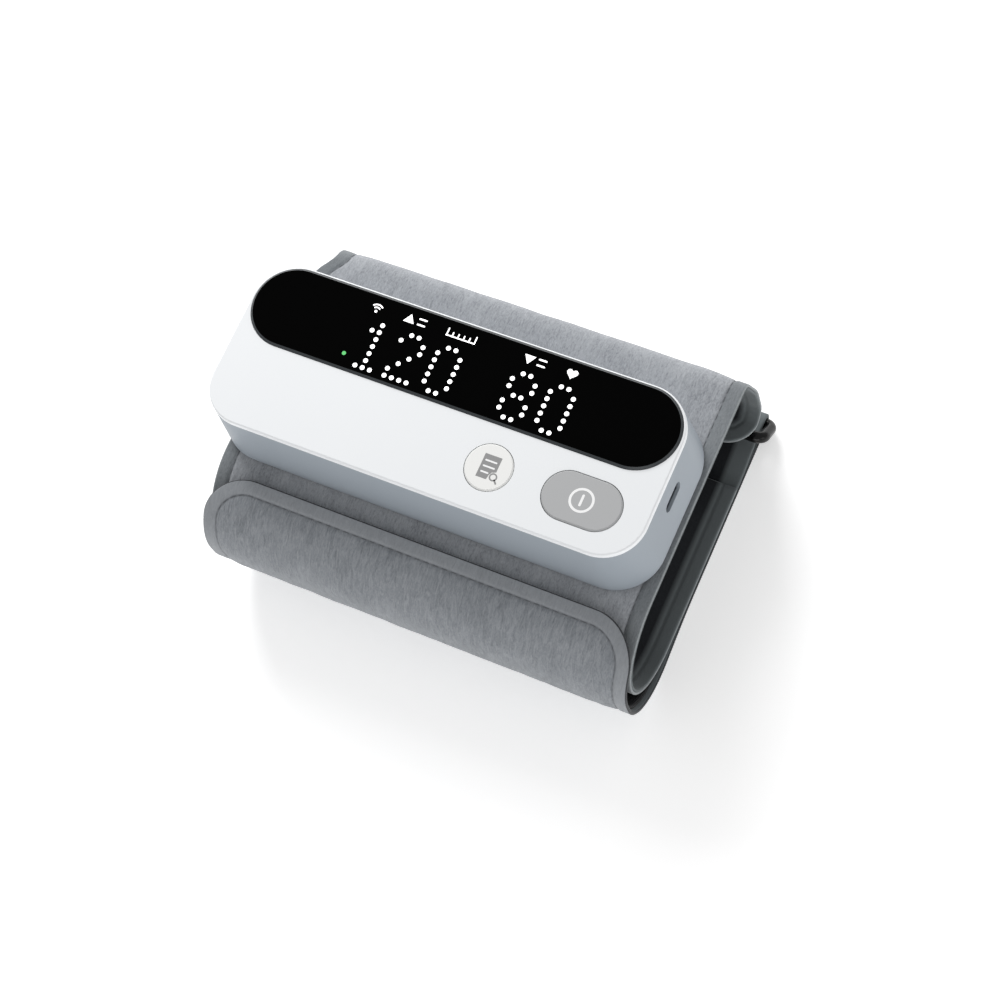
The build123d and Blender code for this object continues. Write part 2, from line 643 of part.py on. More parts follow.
def pump_saddle():
    """Two ribs across the floor, hollowed to the pump's cushion."""
    ribs = None
    for share in (0.3, 0.7):
        x = MOTOR_LEFT + share * MOTOR_LENGTH
        rib = block(x, PUMP_Y, FLOOR_Z - LAYER_GAP, (SADDLE_T, 2 * SADDLE_REACH, SADDLE_HEIGHT))
        ribs = rib if ribs is None else ribs + rib
    bore = rod_x(MOTOR_LEFT, PUMP_Y, MOTOR_Z, MOTOR_R + CUSHION_T + LAYER_GAP, MOTOR_LENGTH)
    return ribs - bore


def battery_cradle():
    """Low walls at both ends of the battery and a rib along its front."""
    length, depth, _ = BATTERY_SIZE
    offset = length / 2 + FIT_GAP + CRADLE_T / 2
    low = FLOOR_Z - LAYER_GAP
    left = block(BATTERY_X - offset, BATTERY_Y, low, (CRADLE_T, depth, CRADLE_HEIGHT))
    right = block(BATTERY_X + offset, BATTERY_Y, low, (CRADLE_T, depth, CRADLE_HEIGHT))
    front_y = BATTERY_Y - depth / 2 - FIT_GAP - CRADLE_T / 2
    front = block(BATTERY_X, front_y, low, (length, CRADLE_T, CRADLE_HEIGHT))
    return left + right + front


def port_slot():
    """Rounded slot for the charging port, through the right wall."""
    height = PORT_HEIGHT + 2 * PORT_SLOT_GAP
    core = PORT_WIDTH - PORT_HEIGHT
    outline = Plane.YZ * SlotCenterToCenter(core, height)
    slot = extrude(outline, amount=4 * WALL, both=True)
    return Pos(FACE_LENGTH / 2 + BODY_X, 0, PORT_Z) * slot


def snap_hook(x, grow=0.0):
    """Hook on the cover's lip, or with grow the slot that it catches in."""
    wall_in = FACE_DEPTH / 2 + (BODY_FLARE + FOOT_SHIFT_Y) * (FACE_Z - LIP_Z) / BODY_HEIGHT - WALL
    size = (HOOK_WIDTH + 2 * grow, HOOK_DEPTH + LIP_T + 2 * grow, HOOK_HEIGHT + 2 * grow)
    y = wall_in - LIP_T / 2 + HOOK_DEPTH / 2
    return block(x, y, LIP_Z - grow, size)


def tab_places():
    """Middles of the display board's tabs, evenly spaced along its front edge."""
    first = TAB_END - DISPLAY_CORE / 2
    step = -2 * first / (TAB_COUNT - 1)
    return [first + index * step for index in range(TAB_COUNT)]


def top_cover():
    """White cover: face, display pocket and window, button holes, lip, hooks and screw bosses."""
    levels = ((SEAM_Z, 0), (FACE_Z - FACE_EDGE, 0), (FACE_Z, FACE_EDGE))
    cover = loft([body_outline(z, inset) for z, inset in levels], ruled=True)
    inside = WALL + FIT_GAP
    cover += body_slab(LIP_Z, SEAM_Z, inside) - body_slab(LIP_Z - LIP_T, PLUG_Z, inside + LIP_T)
    for x in HOOK_PLACES:
        cover += snap_hook(x)
    for x, y in CASE_SCREW_PLACES:
        low = CASE_SPLIT_Z + LAYER_GAP
        cover += rod(x, y, low, CASE_BOSS_R, PLUG_Z - low + LAYER_GAP)
        cover -= rod(x, y, low - FIT_GAP, CASE_SCREW_R + THREAD_GAP, PLUG_Z - low + FIT_GAP)
    pocket_r = DISPLAY_R + FIT_GAP
    cover -= stadium(0, DISPLAY_Y, DISPLAY_CORE, pocket_r, LEDGE_Z, 2 * LENS_POCKET)
    cover -= stadium(0, WINDOW_Y, DISPLAY_CORE, WINDOW_R, LIP_Z - LIP_T, FACE_Z)
    for x in tab_places():
        bite = TAB_SCREW_BITE + FIT_GAP
        cover -= rod(x, TAB_SCREW_Y, PLUG_Z - FIT_GAP, TAB_SCREW_R + THREAD_GAP, bite)
    through = 3 * FACE_Z
    cover -= cylinder(MEMORY_X, BUTTON_Y, 0, MEMORY_R + SLIDE_GAP, through)
    cover -= stadium(START_X, BUTTON_Y, START_CORE, START_R + SLIDE_GAP, 0, through)
    return cover


def display_lens():
    """Black glossy panel, standing proud of the face with a bevelled edge."""
    lens = stadium(0, DISPLAY_Y, DISPLAY_CORE, DISPLAY_R, LEDGE_Z, LENS_T)
    top = lens.faces().sort_by(Axis.Z)[-1].edges()
    return chamfer(top, LENS_BEVEL)


def dot_columns():
    """Places of the dot columns in body coordinates, one list for each digit."""
    digits = []
    for column, mark in enumerate(DOT_LAYOUT):
        if mark == "o":
            if DOT_LAYOUT[column - 1] != "o":
                digits.append([])
            digits[-1].append(FIRST_DOT_X + column * DOT_PITCH_X)
    return digits


def light_guide():
    """Black frame between board and lens, with one light shaft for each digit."""
    radius = WINDOW_R - FIT_GAP
    frame = stadium(0, WINDOW_Y, DISPLAY_CORE, radius, LEDGE_Z - GUIDE_T, GUIDE_T)
    height = DOT_PITCH_Y * DOT_ROWS
    for columns in dot_columns():
        width = columns[-1] - columns[0] + 2 * CHIP_SIZE
        middle = (columns[0] + columns[-1]) / 2
        frame -= block(middle, DOT_MIDDLE_Y, LEDGE_Z - 2 * GUIDE_T, (width, height, 4 * GUIDE_T))
    return frame


def display_board():
    """Board under the window, screwed to the cover by its ears."""
    low = DISPLAY_BOARD_TOP - BOARD_T
    board = stadium(0, WINDOW_Y, DISPLAY_CORE, WINDOW_R + BOARD_RIM, low, BOARD_T)
    for x in tab_places():
        board += block(x, TAB_Y, low, (TAB_WIDTH, TAB_REACH, BOARD_T))
        board -= rod(x, TAB_SCREW_Y, low - BOARD_T, TAB_SCREW_R + 2 * THREAD_GAP, 3 * BOARD_T)
    return board


def led_chips():
    """One light source for every dot place of the five digits."""
    chips = []
    for x in sum(dot_columns(), []):
        for row in range(DOT_ROWS):
            y = DOT_MIDDLE_Y + (row - (DOT_ROWS - 1) / 2) * DOT_PITCH_Y
            chips.append(block(x, y, DISPLAY_BOARD_TOP, (CHIP_SIZE, CHIP_SIZE, CHIP_T)))
    return Compound(chips)


def display_screws():
    head_z = DISPLAY_BOARD_TOP - BOARD_T - TAB_SCREW_HEAD_T
    length = BOARD_T + LAYER_GAP + TAB_SCREW_BITE - FIT_GAP
    return Compound([
        screw(x, TAB_SCREW_Y, head_z, TAB_SCREW_HEAD_R, TAB_SCREW_HEAD_T, TAB_SCREW_R, length)
        for x in tab_places()
    ])


def button(cap, flange, x):
    """Cap with its flange under the cover and a stem down to the switch."""
    rim = cap.faces().sort_by(Axis.Z)[-1].edges()
    stem = cylinder(x, BUTTON_Y, STEM_Z, STEM_R, FACE_Z - STEM_Z - STEM_ROOT)
    return chamfer(rim, BUTTON_EDGE) + flange + stem


def memory_button():
    low = FLANGE_Z - FLANGE_T
    cap = cylinder(MEMORY_X, BUTTON_Y, low, MEMORY_R, FACE_Z + BUTTON_PROUD - low)
    flange = cylinder(MEMORY_X, BUTTON_Y, low, MEMORY_R + FLANGE_REACH, FLANGE_T)
    return button(cap, flange, MEMORY_X)


def start_button():
    low = FLANGE_Z - FLANGE_T
    cap = stadium(START_X, BUTTON_Y, START_CORE, START_R, low, FACE_Z + BUTTON_PROUD - low)
    flange = stadium(START_X, BUTTON_Y, START_CORE, START_R + FLANGE_REACH, low, FLANGE_T)
    return button(cap, flange, START_X)


def switch_body(x):
    """Housing of a tact switch, open at its top for the actuator."""
    body = block(x, BUTTON_Y, BOARD_TOP, (SWITCH_SIZE, SWITCH_SIZE, SWITCH_T))
    return body - cylinder(x, BUTTON_Y, BOARD_TOP + SWITCH_FLOOR, ACTUATOR_R + ACTUATOR_GAP, SWITCH_T)


def switch_actuator(x):
    low = BOARD_TOP + SWITCH_FLOOR + PRESS_TRAVEL + LAYER_GAP
    return cylinder(x, BUTTON_Y, low, ACTUATOR_R, STEM_Z - low)


def main_board():
    """Main circuit board, with a tongue to the charging port."""
    low = BOARD_TOP - MAIN_BOARD_T
    width = MAIN_RIGHT - MAIN_LEFT
    depth = MAIN_BACK - MAIN_FRONT
    middle = ((MAIN_LEFT + MAIN_RIGHT) / 2, (MAIN_FRONT + MAIN_BACK) / 2)
    board = block(*middle, low, (width, depth, MAIN_BOARD_T))
    tongue_x = (MAIN_RIGHT + TONGUE_RIGHT) / 2
    tongue_y = (TONGUE_FRONT + MAIN_BACK) / 2
    tongue = (TONGUE_RIGHT - MAIN_RIGHT, MAIN_BACK - TONGUE_FRONT, MAIN_BOARD_T)
    board += block(tongue_x, tongue_y, low, tongue)
    for x, y in STANDOFF_PLACES:
        board -= rod(x, y, low - MAIN_BOARD_T, SMALL_SCREW_R + 2 * THREAD_GAP, 3 * MAIN_BOARD_T)
    return board


def board_screws():
    """Screws that hold the main board down, heads on its upper face."""
    screws = []
    for x, y in STANDOFF_PLACES:
        head = rod(x, y, BOARD_TOP, SMALL_HEAD_R, SMALL_HEAD_T)
        screws.append(head + rod(x, y, BOARD_TOP - SMALL_SCREW_BITE, SMALL_SCREW_R, SMALL_SCREW_BITE))
    return Compound(screws)


def main_chip():
    return block((MEMORY_X + START_X) / 2, MAIN_FRONT + MAIN_CHIP_IN, BOARD_TOP, MAIN_CHIP)


def buzzer():
    """Round sounder near the board's back left corner, with its sound hole."""
    x = MAIN_LEFT + BUZZER_IN[0]
    y = MAIN_BACK - BUZZER_IN[1]
    shell = cylinder(x, y, BOARD_TOP, BUZZER_R, BUZZER_T)
    return shell - cylinder(x, y, BOARD_TOP + BUZZER_T - BUZZER_HOLE_DEPTH, BUZZER_HOLE_R, BUZZER_T)


def usb_port():
    """Metal shell of the charging port with its tongue, on the board's edge."""
    wall_out = FACE_LENGTH / 2 + (BODY_FLARE + FOOT_SHIFT_X) * (FACE_Z - PORT_Z) / BODY_HEIGHT
    right = wall_out - PORT_RECESS
    core = PORT_WIDTH - PORT_HEIGHT
    outer = extrude(Plane.YZ * SlotCenterToCenter(core, PORT_HEIGHT), amount=-PORT_LENGTH)
    hollow = Plane.YZ * SlotCenterToCenter(core, PORT_HEIGHT - 2 * PORT_SKIN)
    inner = extrude(hollow, amount=PORT_BACK_T - PORT_LENGTH)
    tongue = Box(PORT_LENGTH - PORT_TONGUE_IN, PORT_TONGUE_WIDTH, PORT_TONGUE_T)
    tongue = Pos(-(PORT_LENGTH + PORT_TONGUE_IN) / 2, 0, 0) * tongue
    return Pos(right + BODY_X, 0, PORT_Z) * (outer - inner + tongue)


def housing_screws():
    """Screws up through the lower shell into the cover's bosses."""
    return Compound([
        screw(x, y, RECESS_Z, CASE_HEAD_R, CASE_HEAD_T, CASE_SCREW_R, CASE_SCREW_LENGTH - CASE_HEAD_T)
        for x, y in CASE_SCREW_PLACES
    ])


def dock_plate():
    """Plate on the cuff that the housing is screwed to, open for the air port."""
    plate = body_slab(BASE_Z + LAYER_GAP, BASE_Z + DOCK_T, WALL + DOCK_RIM + FIT_GAP)
    for x, y in DOCK_SCREW_PLACES:
        plate -= rod(x, y, BASE_Z, DOCK_HEAD_R + FIT_GAP, LAYER_GAP + DOCK_HEAD_T + FIT_GAP)
        plate -= rod(x, y, BASE_Z, DOCK_SCREW_R + FIT_GAP, 2 * DOCK_T)
    plate -= cylinder(MANIFOLD_X, MANIFOLD_Y, BASE_Z, NIPPLE_R + FIT_GAP, 2 * DOCK_T)
    return plate


def dock_screws():
    return Compound([
        screw(x, y, BASE_Z + LAYER_GAP, DOCK_HEAD_R, DOCK_HEAD_T, DOCK_SCREW_R,
              DOCK_T - DOCK_HEAD_T + DOCK_SCREW_BITE - FIT_GAP)
        for x, y in DOCK_SCREW_PLACES
    ])


def air_nipple():
    """Port welded to the bladder, up through cover, plate and floor."""
    low = BASE_Z - POCKET_SKIN - LAYER_GAP / 2
    port = cylinder(MANIFOLD_X, MANIFOLD_Y, low, PORT_FLANGE_R, PORT_FLANGE_T)
    port += cylinder(MANIFOLD_X, MANIFOLD_Y, low, NIPPLE_R, NIPPLE_HEIGHT)
    return port - cylinder(MANIFOLD_X, MANIFOLD_Y, low - NIPPLE_HEIGHT, NIPPLE_BORE_R, 3 * NIPPLE_HEIGHT)


def port_seal():
    """Square rubber ring round the air port, in the manifold's socket."""
    low = FLOOR_Z + LAYER_GAP
    ring_r = NIPPLE_R + THREAD_GAP
    outer = cylinder(MANIFOLD_X, MANIFOLD_Y, low, ring_r + SEAL_T, SEAL_T)
    return outer - cylinder(MANIFOLD_X, MANIFOLD_Y, low - SEAL_T, ring_r, 3 * SEAL_T)


def air_manifold():
    """Junction block over the air port, with stubs to pump, valve and sensor."""
    low = FLOOR_Z + LAYER_GAP / 2
    height = SENSOR_Z + STUB_R - low
    body = block(MANIFOLD_X, MANIFOLD_Y, low, (MANIFOLD_LENGTH, MANIFOLD_DEPTH, height))
    reach = MANIFOLD_LENGTH + 2 * STUB_LENGTH
    left = MANIFOLD_X - reach / 2
    front = MANIFOLD_Y - MANIFOLD_DEPTH / 2 - STUB_LENGTH
    body += rod_x(left, MANIFOLD_Y, AIR_Z, STUB_R, reach)
    body += rod_y(MANIFOLD_X, front, SENSOR_Z, STUB_R, STUB_LENGTH + STUB_ROOT)
    body -= rod_x(left - STUB_ROOT, MANIFOLD_Y, AIR_Z, STUB_BORE_R, reach + 2 * STUB_ROOT)
    body -= rod_y(MANIFOLD_X, front - STUB_ROOT, SENSOR_Z, STUB_BORE_R, MANIFOLD_Y - front + STUB_ROOT)
    body -= cylinder(MANIFOLD_X, MANIFOLD_Y, low, STUB_BORE_R, SENSOR_Z - low)
    socket_r = NIPPLE_R + SEAL_T + FIT_GAP
    return body - cylinder(MANIFOLD_X, MANIFOLD_Y, low - SEAL_SOCKET_DEPTH, socket_r, 2 * SEAL_SOCKET_DEPTH)


def pump_tube():
    """Soft tube from the pump, between battery and board, to the manifold."""
    start_x = PUMP_RIGHT + LAYER_GAP + BODY_X
    turn_x = TUBE_TURN_X + BODY_X
    end_x = MANIFOLD_X - MANIFOLD_LENGTH / 2 - LAYER_GAP + BODY_X
    corners = [
        (start_x, PUMP_Y, AIR_Z),
        (turn_x, PUMP_Y, AIR_Z),
        (turn_x, MANIFOLD_Y, AIR_Z),
        (end_x, MANIFOLD_Y, AIR_Z),
    ]
    path = FilletPolyline(*corners, radius=TUBE_BEND_R)
    section = RegularPolygon(TUBE_R, TUBE_SIDES) - RegularPolygon(TUBE_BORE_R, TUBE_SIDES)
    return sweep((path ^ 0) * section, path=path)


def valve_left():
    return VALVE_X - VALVE_SIZE[0] / 2


def valve_tube():
    """Short tube from the manifold to the exhaust valve."""
    low = MANIFOLD_X + MANIFOLD_LENGTH / 2 + LAYER_GAP
    length = valve_left() - LAYER_GAP - low
    outer = rod_x(low, MANIFOLD_Y, AIR_Z, TUBE_R, length)
    return outer - rod_x(low - length, MANIFOLD_Y, AIR_Z, TUBE_BORE_R, 3 * length)


def sensor_tube():
    """Short tube from the manifold to the pressure sensor."""
    low = SENSOR_Y + SENSOR_SIZE[1] / 2 + LAYER_GAP
    length = MANIFOLD_Y - MANIFOLD_DEPTH / 2 - LAYER_GAP - low
    outer = rod_y(MANIFOLD_X, low, SENSOR_Z, SENSOR_TUBE_R, length)
    return outer - rod_y(MANIFOLD_X, low - length, SENSOR_Z, TUBE_BORE_R, 3 * length)


def pressure_sensor():
    """Sensor on the main board, with the stub that its tube is pushed on."""
    back = SENSOR_Y + SENSOR_SIZE[1] / 2
    body = block(MANIFOLD_X, SENSOR_Y, BOARD_TOP, SENSOR_SIZE)
    body += rod_y(MANIFOLD_X, back - STUB_ROOT, SENSOR_Z, STUB_R, 2 * STUB_ROOT)
    return body - rod_y(MANIFOLD_X, back - STUB_ROOT, SENSOR_Z, STUB_BORE_R, 3 * STUB_ROOT)


def exhaust_valve():
    """Solenoid body with the bore that its plunger slides in."""
    body = block(VALVE_X, MANIFOLD_Y, FLOOR_Z + LAYER_GAP / 2, VALVE_SIZE)
    stub_left = valve_left() - VALVE_STUB
    body += rod_x(stub_left, MANIFOLD_Y, AIR_Z, STUB_R, VALVE_STUB + VALVE_WALL / 2)
    bore_length = FIT_GAP + PLUNGER_LENGTH + VALVE_TRAVEL + SPRING_ROOM
    body -= rod_x(valve_left() + VALVE_WALL, MANIFOLD_Y, AIR_Z, PLUNGER_R + PLUNGER_GAP, bore_length)
    return body - rod_x(stub_left - VALVE_STUB, MANIFOLD_Y, AIR_Z, STUB_BORE_R, 2 * (VALVE_STUB + VALVE_WALL))


def valve_plunger():
    """Iron plunger that opens the bleed hole."""
    return rod_x(valve_left() + VALVE_WALL + FIT_GAP, MANIFOLD_Y, AIR_Z, PLUNGER_R, PLUNGER_LENGTH)


def pump_motor():
    """Motor can with a bearing bore for the crank's shaft."""
    can = rod_x(MOTOR_LEFT, PUMP_Y, MOTOR_Z, MOTOR_R, MOTOR_LENGTH)
    rims = can.edges().filter_by(GeomType.CIRCLE)
    can = chamfer(rims, MOTOR_EDGE)
    seat = SHAFT_SEAT + FIT_GAP
    return can - rod_x(MOTOR_RIGHT - seat, PUMP_Y, MOTOR_Z, SHAFT_R + SHAFT_GAP, 2 * seat)


def pump_head():
    """Crank case and diaphragm head, with the outlet stub."""
    left = MOTOR_RIGHT + LAYER_GAP
    case_r = MOTOR_R - CRANK_CASE_WALL
    head = rod_x(left, PUMP_Y, MOTOR_Z, MOTOR_R, PUMP_HEAD_LENGTH - LAYER_GAP)
    head -= rod_x(left - CRANK_CASE_LENGTH, PUMP_Y, MOTOR_Z, case_r, 2 * CRANK_CASE_LENGTH)
    head += rod_x(PUMP_RIGHT - STUB_ROOT, PUMP_Y, AIR_Z, STUB_R, STUB_LENGTH + STUB_ROOT)
    return head - rod_x(PUMP_RIGHT - OUTLET_DEPTH, PUMP_Y, AIR_Z, STUB_BORE_R, 3 * OUTLET_DEPTH)


def pump_crank():
    """Motor shaft with the eccentric that works the diaphragm."""
    shaft = rod_x(MOTOR_RIGHT - SHAFT_SEAT, PUMP_Y, MOTOR_Z, SHAFT_R, SHAFT_SEAT + SHAFT_NECK + CRANK_T)
    disc = rod_x(MOTOR_RIGHT + SHAFT_NECK, PUMP_Y, MOTOR_Z + CRANK_THROW, CRANK_R, CRANK_T)
    return shaft + disc


def pump_cushion():
    """Rubber sleeve between the motor and its saddle."""
    left = MOTOR_LEFT + CUSHION_INSET
    length = MOTOR_LENGTH - 2 * CUSHION_INSET
    sleeve = rod_x(left, PUMP_Y, MOTOR_Z, MOTOR_R + CUSHION_T, length)
    return sleeve - rod_x(left - length, PUMP_Y, MOTOR_Z, MOTOR_R + THREAD_GAP, 3 * length)


def battery():
    cell = block(BATTERY_X, BATTERY_Y, FLOOR_Z + PAD_T, BATTERY_SIZE)
    upright = cell.edges().filter_by(Axis.Z)
    return fillet(upright, BATTERY_EDGE_R)


def battery_pad():
    length, depth, _ = BATTERY_SIZE
    return block(BATTERY_X, BATTERY_Y, FLOOR_Z, (length - 2 * PAD_INSET, depth - 2 * PAD_INSET, PAD_T))


NODES = {
    "top_cover": top_cover,
    "base_housing": base_housing,
    "display_lens": display_lens,
    "light_guide": light_guide,
    "display_board": display_board,
    "led_chips": led_chips,
    "display_screws": display_screws,
    "memory_button": memory_button,
    "start_button": start_button,
    "memory_switch": lambda: switch_body(MEMORY_X),
    "start_switch": lambda: switch_body(START_X),
    "memory_actuator": lambda: switch_actuator(MEMORY_X),
    "start_actuator": lambda: switch_actuator(START_X),
    "main_board": main_board,
    "board_screws": board_screws,
    "main_chip": main_chip,
    "buzzer": buzzer,
    "usb_port": usb_port,
    "housing_screws": housing_screws,
    "dock_plate": dock_plate,
    "dock_screws": dock_screws,
    "air_nipple": air_nipple,
    "port_seal": port_seal,
    "air_manifold": air_manifold,
    "pump_tube": pump_tube,
    "valve_tube": valve_tube,
    "sensor_tube": sensor_tube,
    "pressure_sensor": pressure_sensor,
    "exhaust_valve": exhaust_valve,
    "valve_plunger": valve_plunger,
    "pump_motor": pump_motor,
    "pump_head": pump_head,
    "pump_crank": pump_crank,
    "pump_cushion": pump_cushion,
    "battery": battery,
    "battery_pad": battery_pad,
    "cuff_cover": cuff_cover,
    "cuff_lining": cuff_lining,
    "bladder": bladder,
    "tail_strap": tail_strap,
    "hook_panel": hook_panel,
    "closure_flap": closure_flap,
    "flap_hook": flap_hook,
    "ring": ring,
    "ring_tab": ring_tab,
}

for name, make in NODES.items():
    export_step(make(), f"parts/{name}.step")
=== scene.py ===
import json
import math

import bmesh
import bpy
from mathutils import Matrix, Vector, noise


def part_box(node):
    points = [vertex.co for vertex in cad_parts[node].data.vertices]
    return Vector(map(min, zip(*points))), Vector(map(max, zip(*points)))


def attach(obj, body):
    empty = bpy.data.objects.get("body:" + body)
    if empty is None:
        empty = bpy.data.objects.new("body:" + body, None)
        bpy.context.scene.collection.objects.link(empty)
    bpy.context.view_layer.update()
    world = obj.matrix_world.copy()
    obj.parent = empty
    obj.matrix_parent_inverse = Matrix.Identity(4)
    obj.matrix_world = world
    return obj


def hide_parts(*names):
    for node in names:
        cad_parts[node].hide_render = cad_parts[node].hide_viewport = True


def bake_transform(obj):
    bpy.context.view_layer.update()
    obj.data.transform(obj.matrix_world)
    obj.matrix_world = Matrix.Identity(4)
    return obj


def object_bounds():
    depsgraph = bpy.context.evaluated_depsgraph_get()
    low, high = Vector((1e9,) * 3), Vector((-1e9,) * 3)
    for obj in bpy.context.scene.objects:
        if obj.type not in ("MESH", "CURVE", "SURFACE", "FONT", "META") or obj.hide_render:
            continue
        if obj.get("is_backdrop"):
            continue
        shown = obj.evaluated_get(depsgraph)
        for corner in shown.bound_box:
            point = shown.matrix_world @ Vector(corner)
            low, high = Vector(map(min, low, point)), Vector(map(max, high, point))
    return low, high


# Upper arm blood pressure monitor on its closed cuff.
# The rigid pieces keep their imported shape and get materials. The cuff's fabric is modelled here.
# Lengths are in millimetres until a mesh is made. MM turns them into metres.
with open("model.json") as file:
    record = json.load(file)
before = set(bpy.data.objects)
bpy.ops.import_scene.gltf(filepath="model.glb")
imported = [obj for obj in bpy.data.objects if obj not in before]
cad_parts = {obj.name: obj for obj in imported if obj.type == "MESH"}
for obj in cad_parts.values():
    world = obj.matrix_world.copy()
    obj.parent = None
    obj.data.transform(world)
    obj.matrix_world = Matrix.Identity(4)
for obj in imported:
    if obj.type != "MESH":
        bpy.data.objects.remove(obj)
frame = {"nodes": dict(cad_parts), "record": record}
cad_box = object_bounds()
MM = 0.001


def box_mm(node):
    """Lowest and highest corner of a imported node, in millimetres."""
    low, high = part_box(node)
    return low / MM, high / MM


# Fabric thicknesses and borders
STRAP_T = 1.2
HOOK_T = 1.0
TUBE_T = 4.0
SEWN_T = 1.7            # cover and lining where they are sewn together at an edge
BORDER = 4.1            # from a free edge to the seam beside it
BAND = 5.6              # lighter band along the lining's edge
SEAM_DEPTH = 0.4
SEAM_HALF_WIDTH = 0.5
STITCH_LENGTH = 2.1
STITCH_PITCH = 2.9
STITCH_R = 0.13
RIM_BULGE = 0.35

# Tube of the cuff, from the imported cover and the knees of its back
cover_low, cover_high = box_mm("cuff_cover")
TUBE_X = (cover_low.x + cover_high.x) / 2
TUBE_HALF_WIDTH = (cover_high.x - cover_low.x) / 2
TUBE_TOP = cover_high.z
TUBE_FRONT = cover_low.y
TUBE_FOOT = cover_low.z
END_FLAP = (36.6, 11.9)
BACK_FOOT_Y = 50.4
BACK_KNEE = (49.6, 30.0)
BACK_TOP_Y = 44.5
LOWER_END_Y = 26.6
BACK_RADII = (6.5, 25.0, 6.0)
CURL_R = (TUBE_TOP - TUBE_FOOT - 0.1) / 2
END_CORNER_R = 9.0
PINCH = 4.0             # how far the tube's left edge pulls in at its back shoulder
PINCH_LOW = (14.0, 30.0)        # lengths along the tube where it starts to and has done so
PINCH_HIGH_Y = (42.0, 33.5)     # places on the top where it starts to come out and has done so
FILLS = (16.0, 34.0)    # the tube fills up between these lengths from its free end
THINS = (16.0, 4.0)     # and thins out between these lengths before the tail strap
SEWN_IN = 0.45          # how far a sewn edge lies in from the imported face
CLOTH_T = 0.5
PLY_GAP = 0.02
TUBE_STEPS = (1.9, 0.6)     # between the mesh's rows, in the middle and at a free end

# Tail strap and flap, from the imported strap
strap_low, strap_high = box_mm("tail_strap")
WRAP_X = (strap_low.x + strap_high.x) / 2
STRAP_HALF_WIDTH = (strap_high.x - strap_low.x) / 2
STRAP_FRONT = strap_low.y + STRAP_T
STRAP_BACK = strap_high.y - STRAP_T
STRAP_FOOT = strap_low.z + STRAP_T
STRAP_OVER_Z = 5.0
STRAP_RISE_Y = 30.0
HEM_BAR_Y = 42.6
FOLD_R = 1.85
FLAP_INNER_R = 21.0
FLAP_ARC = 79.9
FLAP_CORNER_R = 14.0
FLAP_HALF_WIDTH = box_mm("closure_flap")[1].x - WRAP_X
HINGE_Z = 26.5
FRONT_R = 22.0
WIDENS = (60.0, 10.0)   # the wrap grows to the flap's width between these lengths before the hinge
QUILTS = (30.0, 5.0)    # and its quilting starts between these
HOOK_INSET = 1.4        # from the flap's edge to the hook layer's
RING_CLEAR = 4.0        # from the fold round the ring to the hook layer and the seam
WRAP_STEPS = (1.3, 0.5)
HOOK_STEPS = (1.8, 0.8)

# Webbing tab that holds the ring
TAB_T = 0.8
TAB_STEPS = (0.7, 0.7)

# Monitor's face
lens_low, lens_high = box_mm("display_lens")
BODY_X = (lens_low.x + lens_high.x) / 2
LENS_TOP = lens_high.z
DOT_PITCH_X = 2.35
DOT_PITCH_Y = 2.314
MIDDLE_COLUMN = 13.5
TOP_DOT_Y = 16.63
DOT_R = 0.7
DOTS_SHIFT = (0.45, -0.38)   # the lit dots show through the lens, a little off its top face
PRINT_T = 0.03
GREEN_R = 0.62
GREEN_COLUMN = -1
GREEN_ROW = 5
SYMBOL_Y = 21.3
WIRELESS_X = -30.9
UPPER_X = -20.4
SCALE_X = -8.2
SCALE_PITCH = 1.75
SCALE_MARKS = 6
SCALE_STROKE = 0.38
LOWER_X = 17.4
HEART_X = 30.7
HEART_SIZE = 1.65

# Camera, solved from the dot grid in the photograph
CAMERA_AT = (207.05, -175.7, 622.8)
CAMERA_RIGHT = (0.8954, 0.4061, -0.1828)
CAMERA_UP = (-0.3253, 0.8767, 0.3544)
CAMERA_LENS = 79.2
SENSOR_WIDTH = 36.0

# Painted shade in the seam's groove: its colour and how strongly it darkens the fabric
SEAM_GROOVE_PAINTED_SHADE = "3C3F42"
SEAM_GROOVE_SHADE_SHARE = 0.35
WORLD_STRENGTH = 0.49
FLOOR_HALF = 6.0


class Path:
    """Straight runs joined by tangent arcs in the YZ plane, measured along their length."""

    def __init__(self, points, radii):
        self.parts = []
        self.length = 0.0
        start = Vector(points[0])
        for index, radius in enumerate(radii):
            corner = Vector(points[index + 1])
            before = (corner - Vector(points[index])).normalized()
            after = (Vector(points[index + 2]) - corner).normalized()
            turn = before.angle_signed(after)
            side = -1 if turn > 0 else 1
            reach = radius * math.tan(abs(turn) / 2)
            arc_start = corner - reach * before
            self.add_run(start, arc_start)
            normal = Vector((-before.y, before.x)) * side
            centre = arc_start + radius * normal
            self.parts.append((self.length, "arc", centre, -normal, side, radius))
            self.length += radius * abs(turn)
            start = corner + reach * after
        self.add_run(start, Vector(points[-1]))

    def add_run(self, start, end):
        heading = (end - start).normalized()
        self.parts.append((self.length, "run", start, heading, 0, 0.0))
        self.length += (end - start).length

    def at(self, along):
        """Point and heading at a length along the path."""
        part = self.parts[0]
        for candidate in self.parts:
            if candidate[0] <= along:
                part = candidate
        began, kind, origin, ray, side, radius = part
        if kind == "run":
            return origin + ray * (along - began), ray
        angle = side * (along - began) / radius
        cos, sin = math.cos(angle), math.sin(angle)
        spoke = Vector((ray.x * cos - ray.y * sin, ray.x * sin + ray.y * cos))
        heading = Vector((-spoke.y, spoke.x)) * side
        return origin + radius * spoke, heading

    def place(self, along, x, depth):
        """Point in space at a length along, across x, and moved left by depth, in millimetres."""
        point, heading = self.at(along)
        return Vector((x, point.x - depth * heading.y, point.y + depth * heading.x))


def smooth(value, low, high):
    share = min(1.0, max(0.0, (value - low) / (high - low)))
    return share * share * (3 - 2 * share)


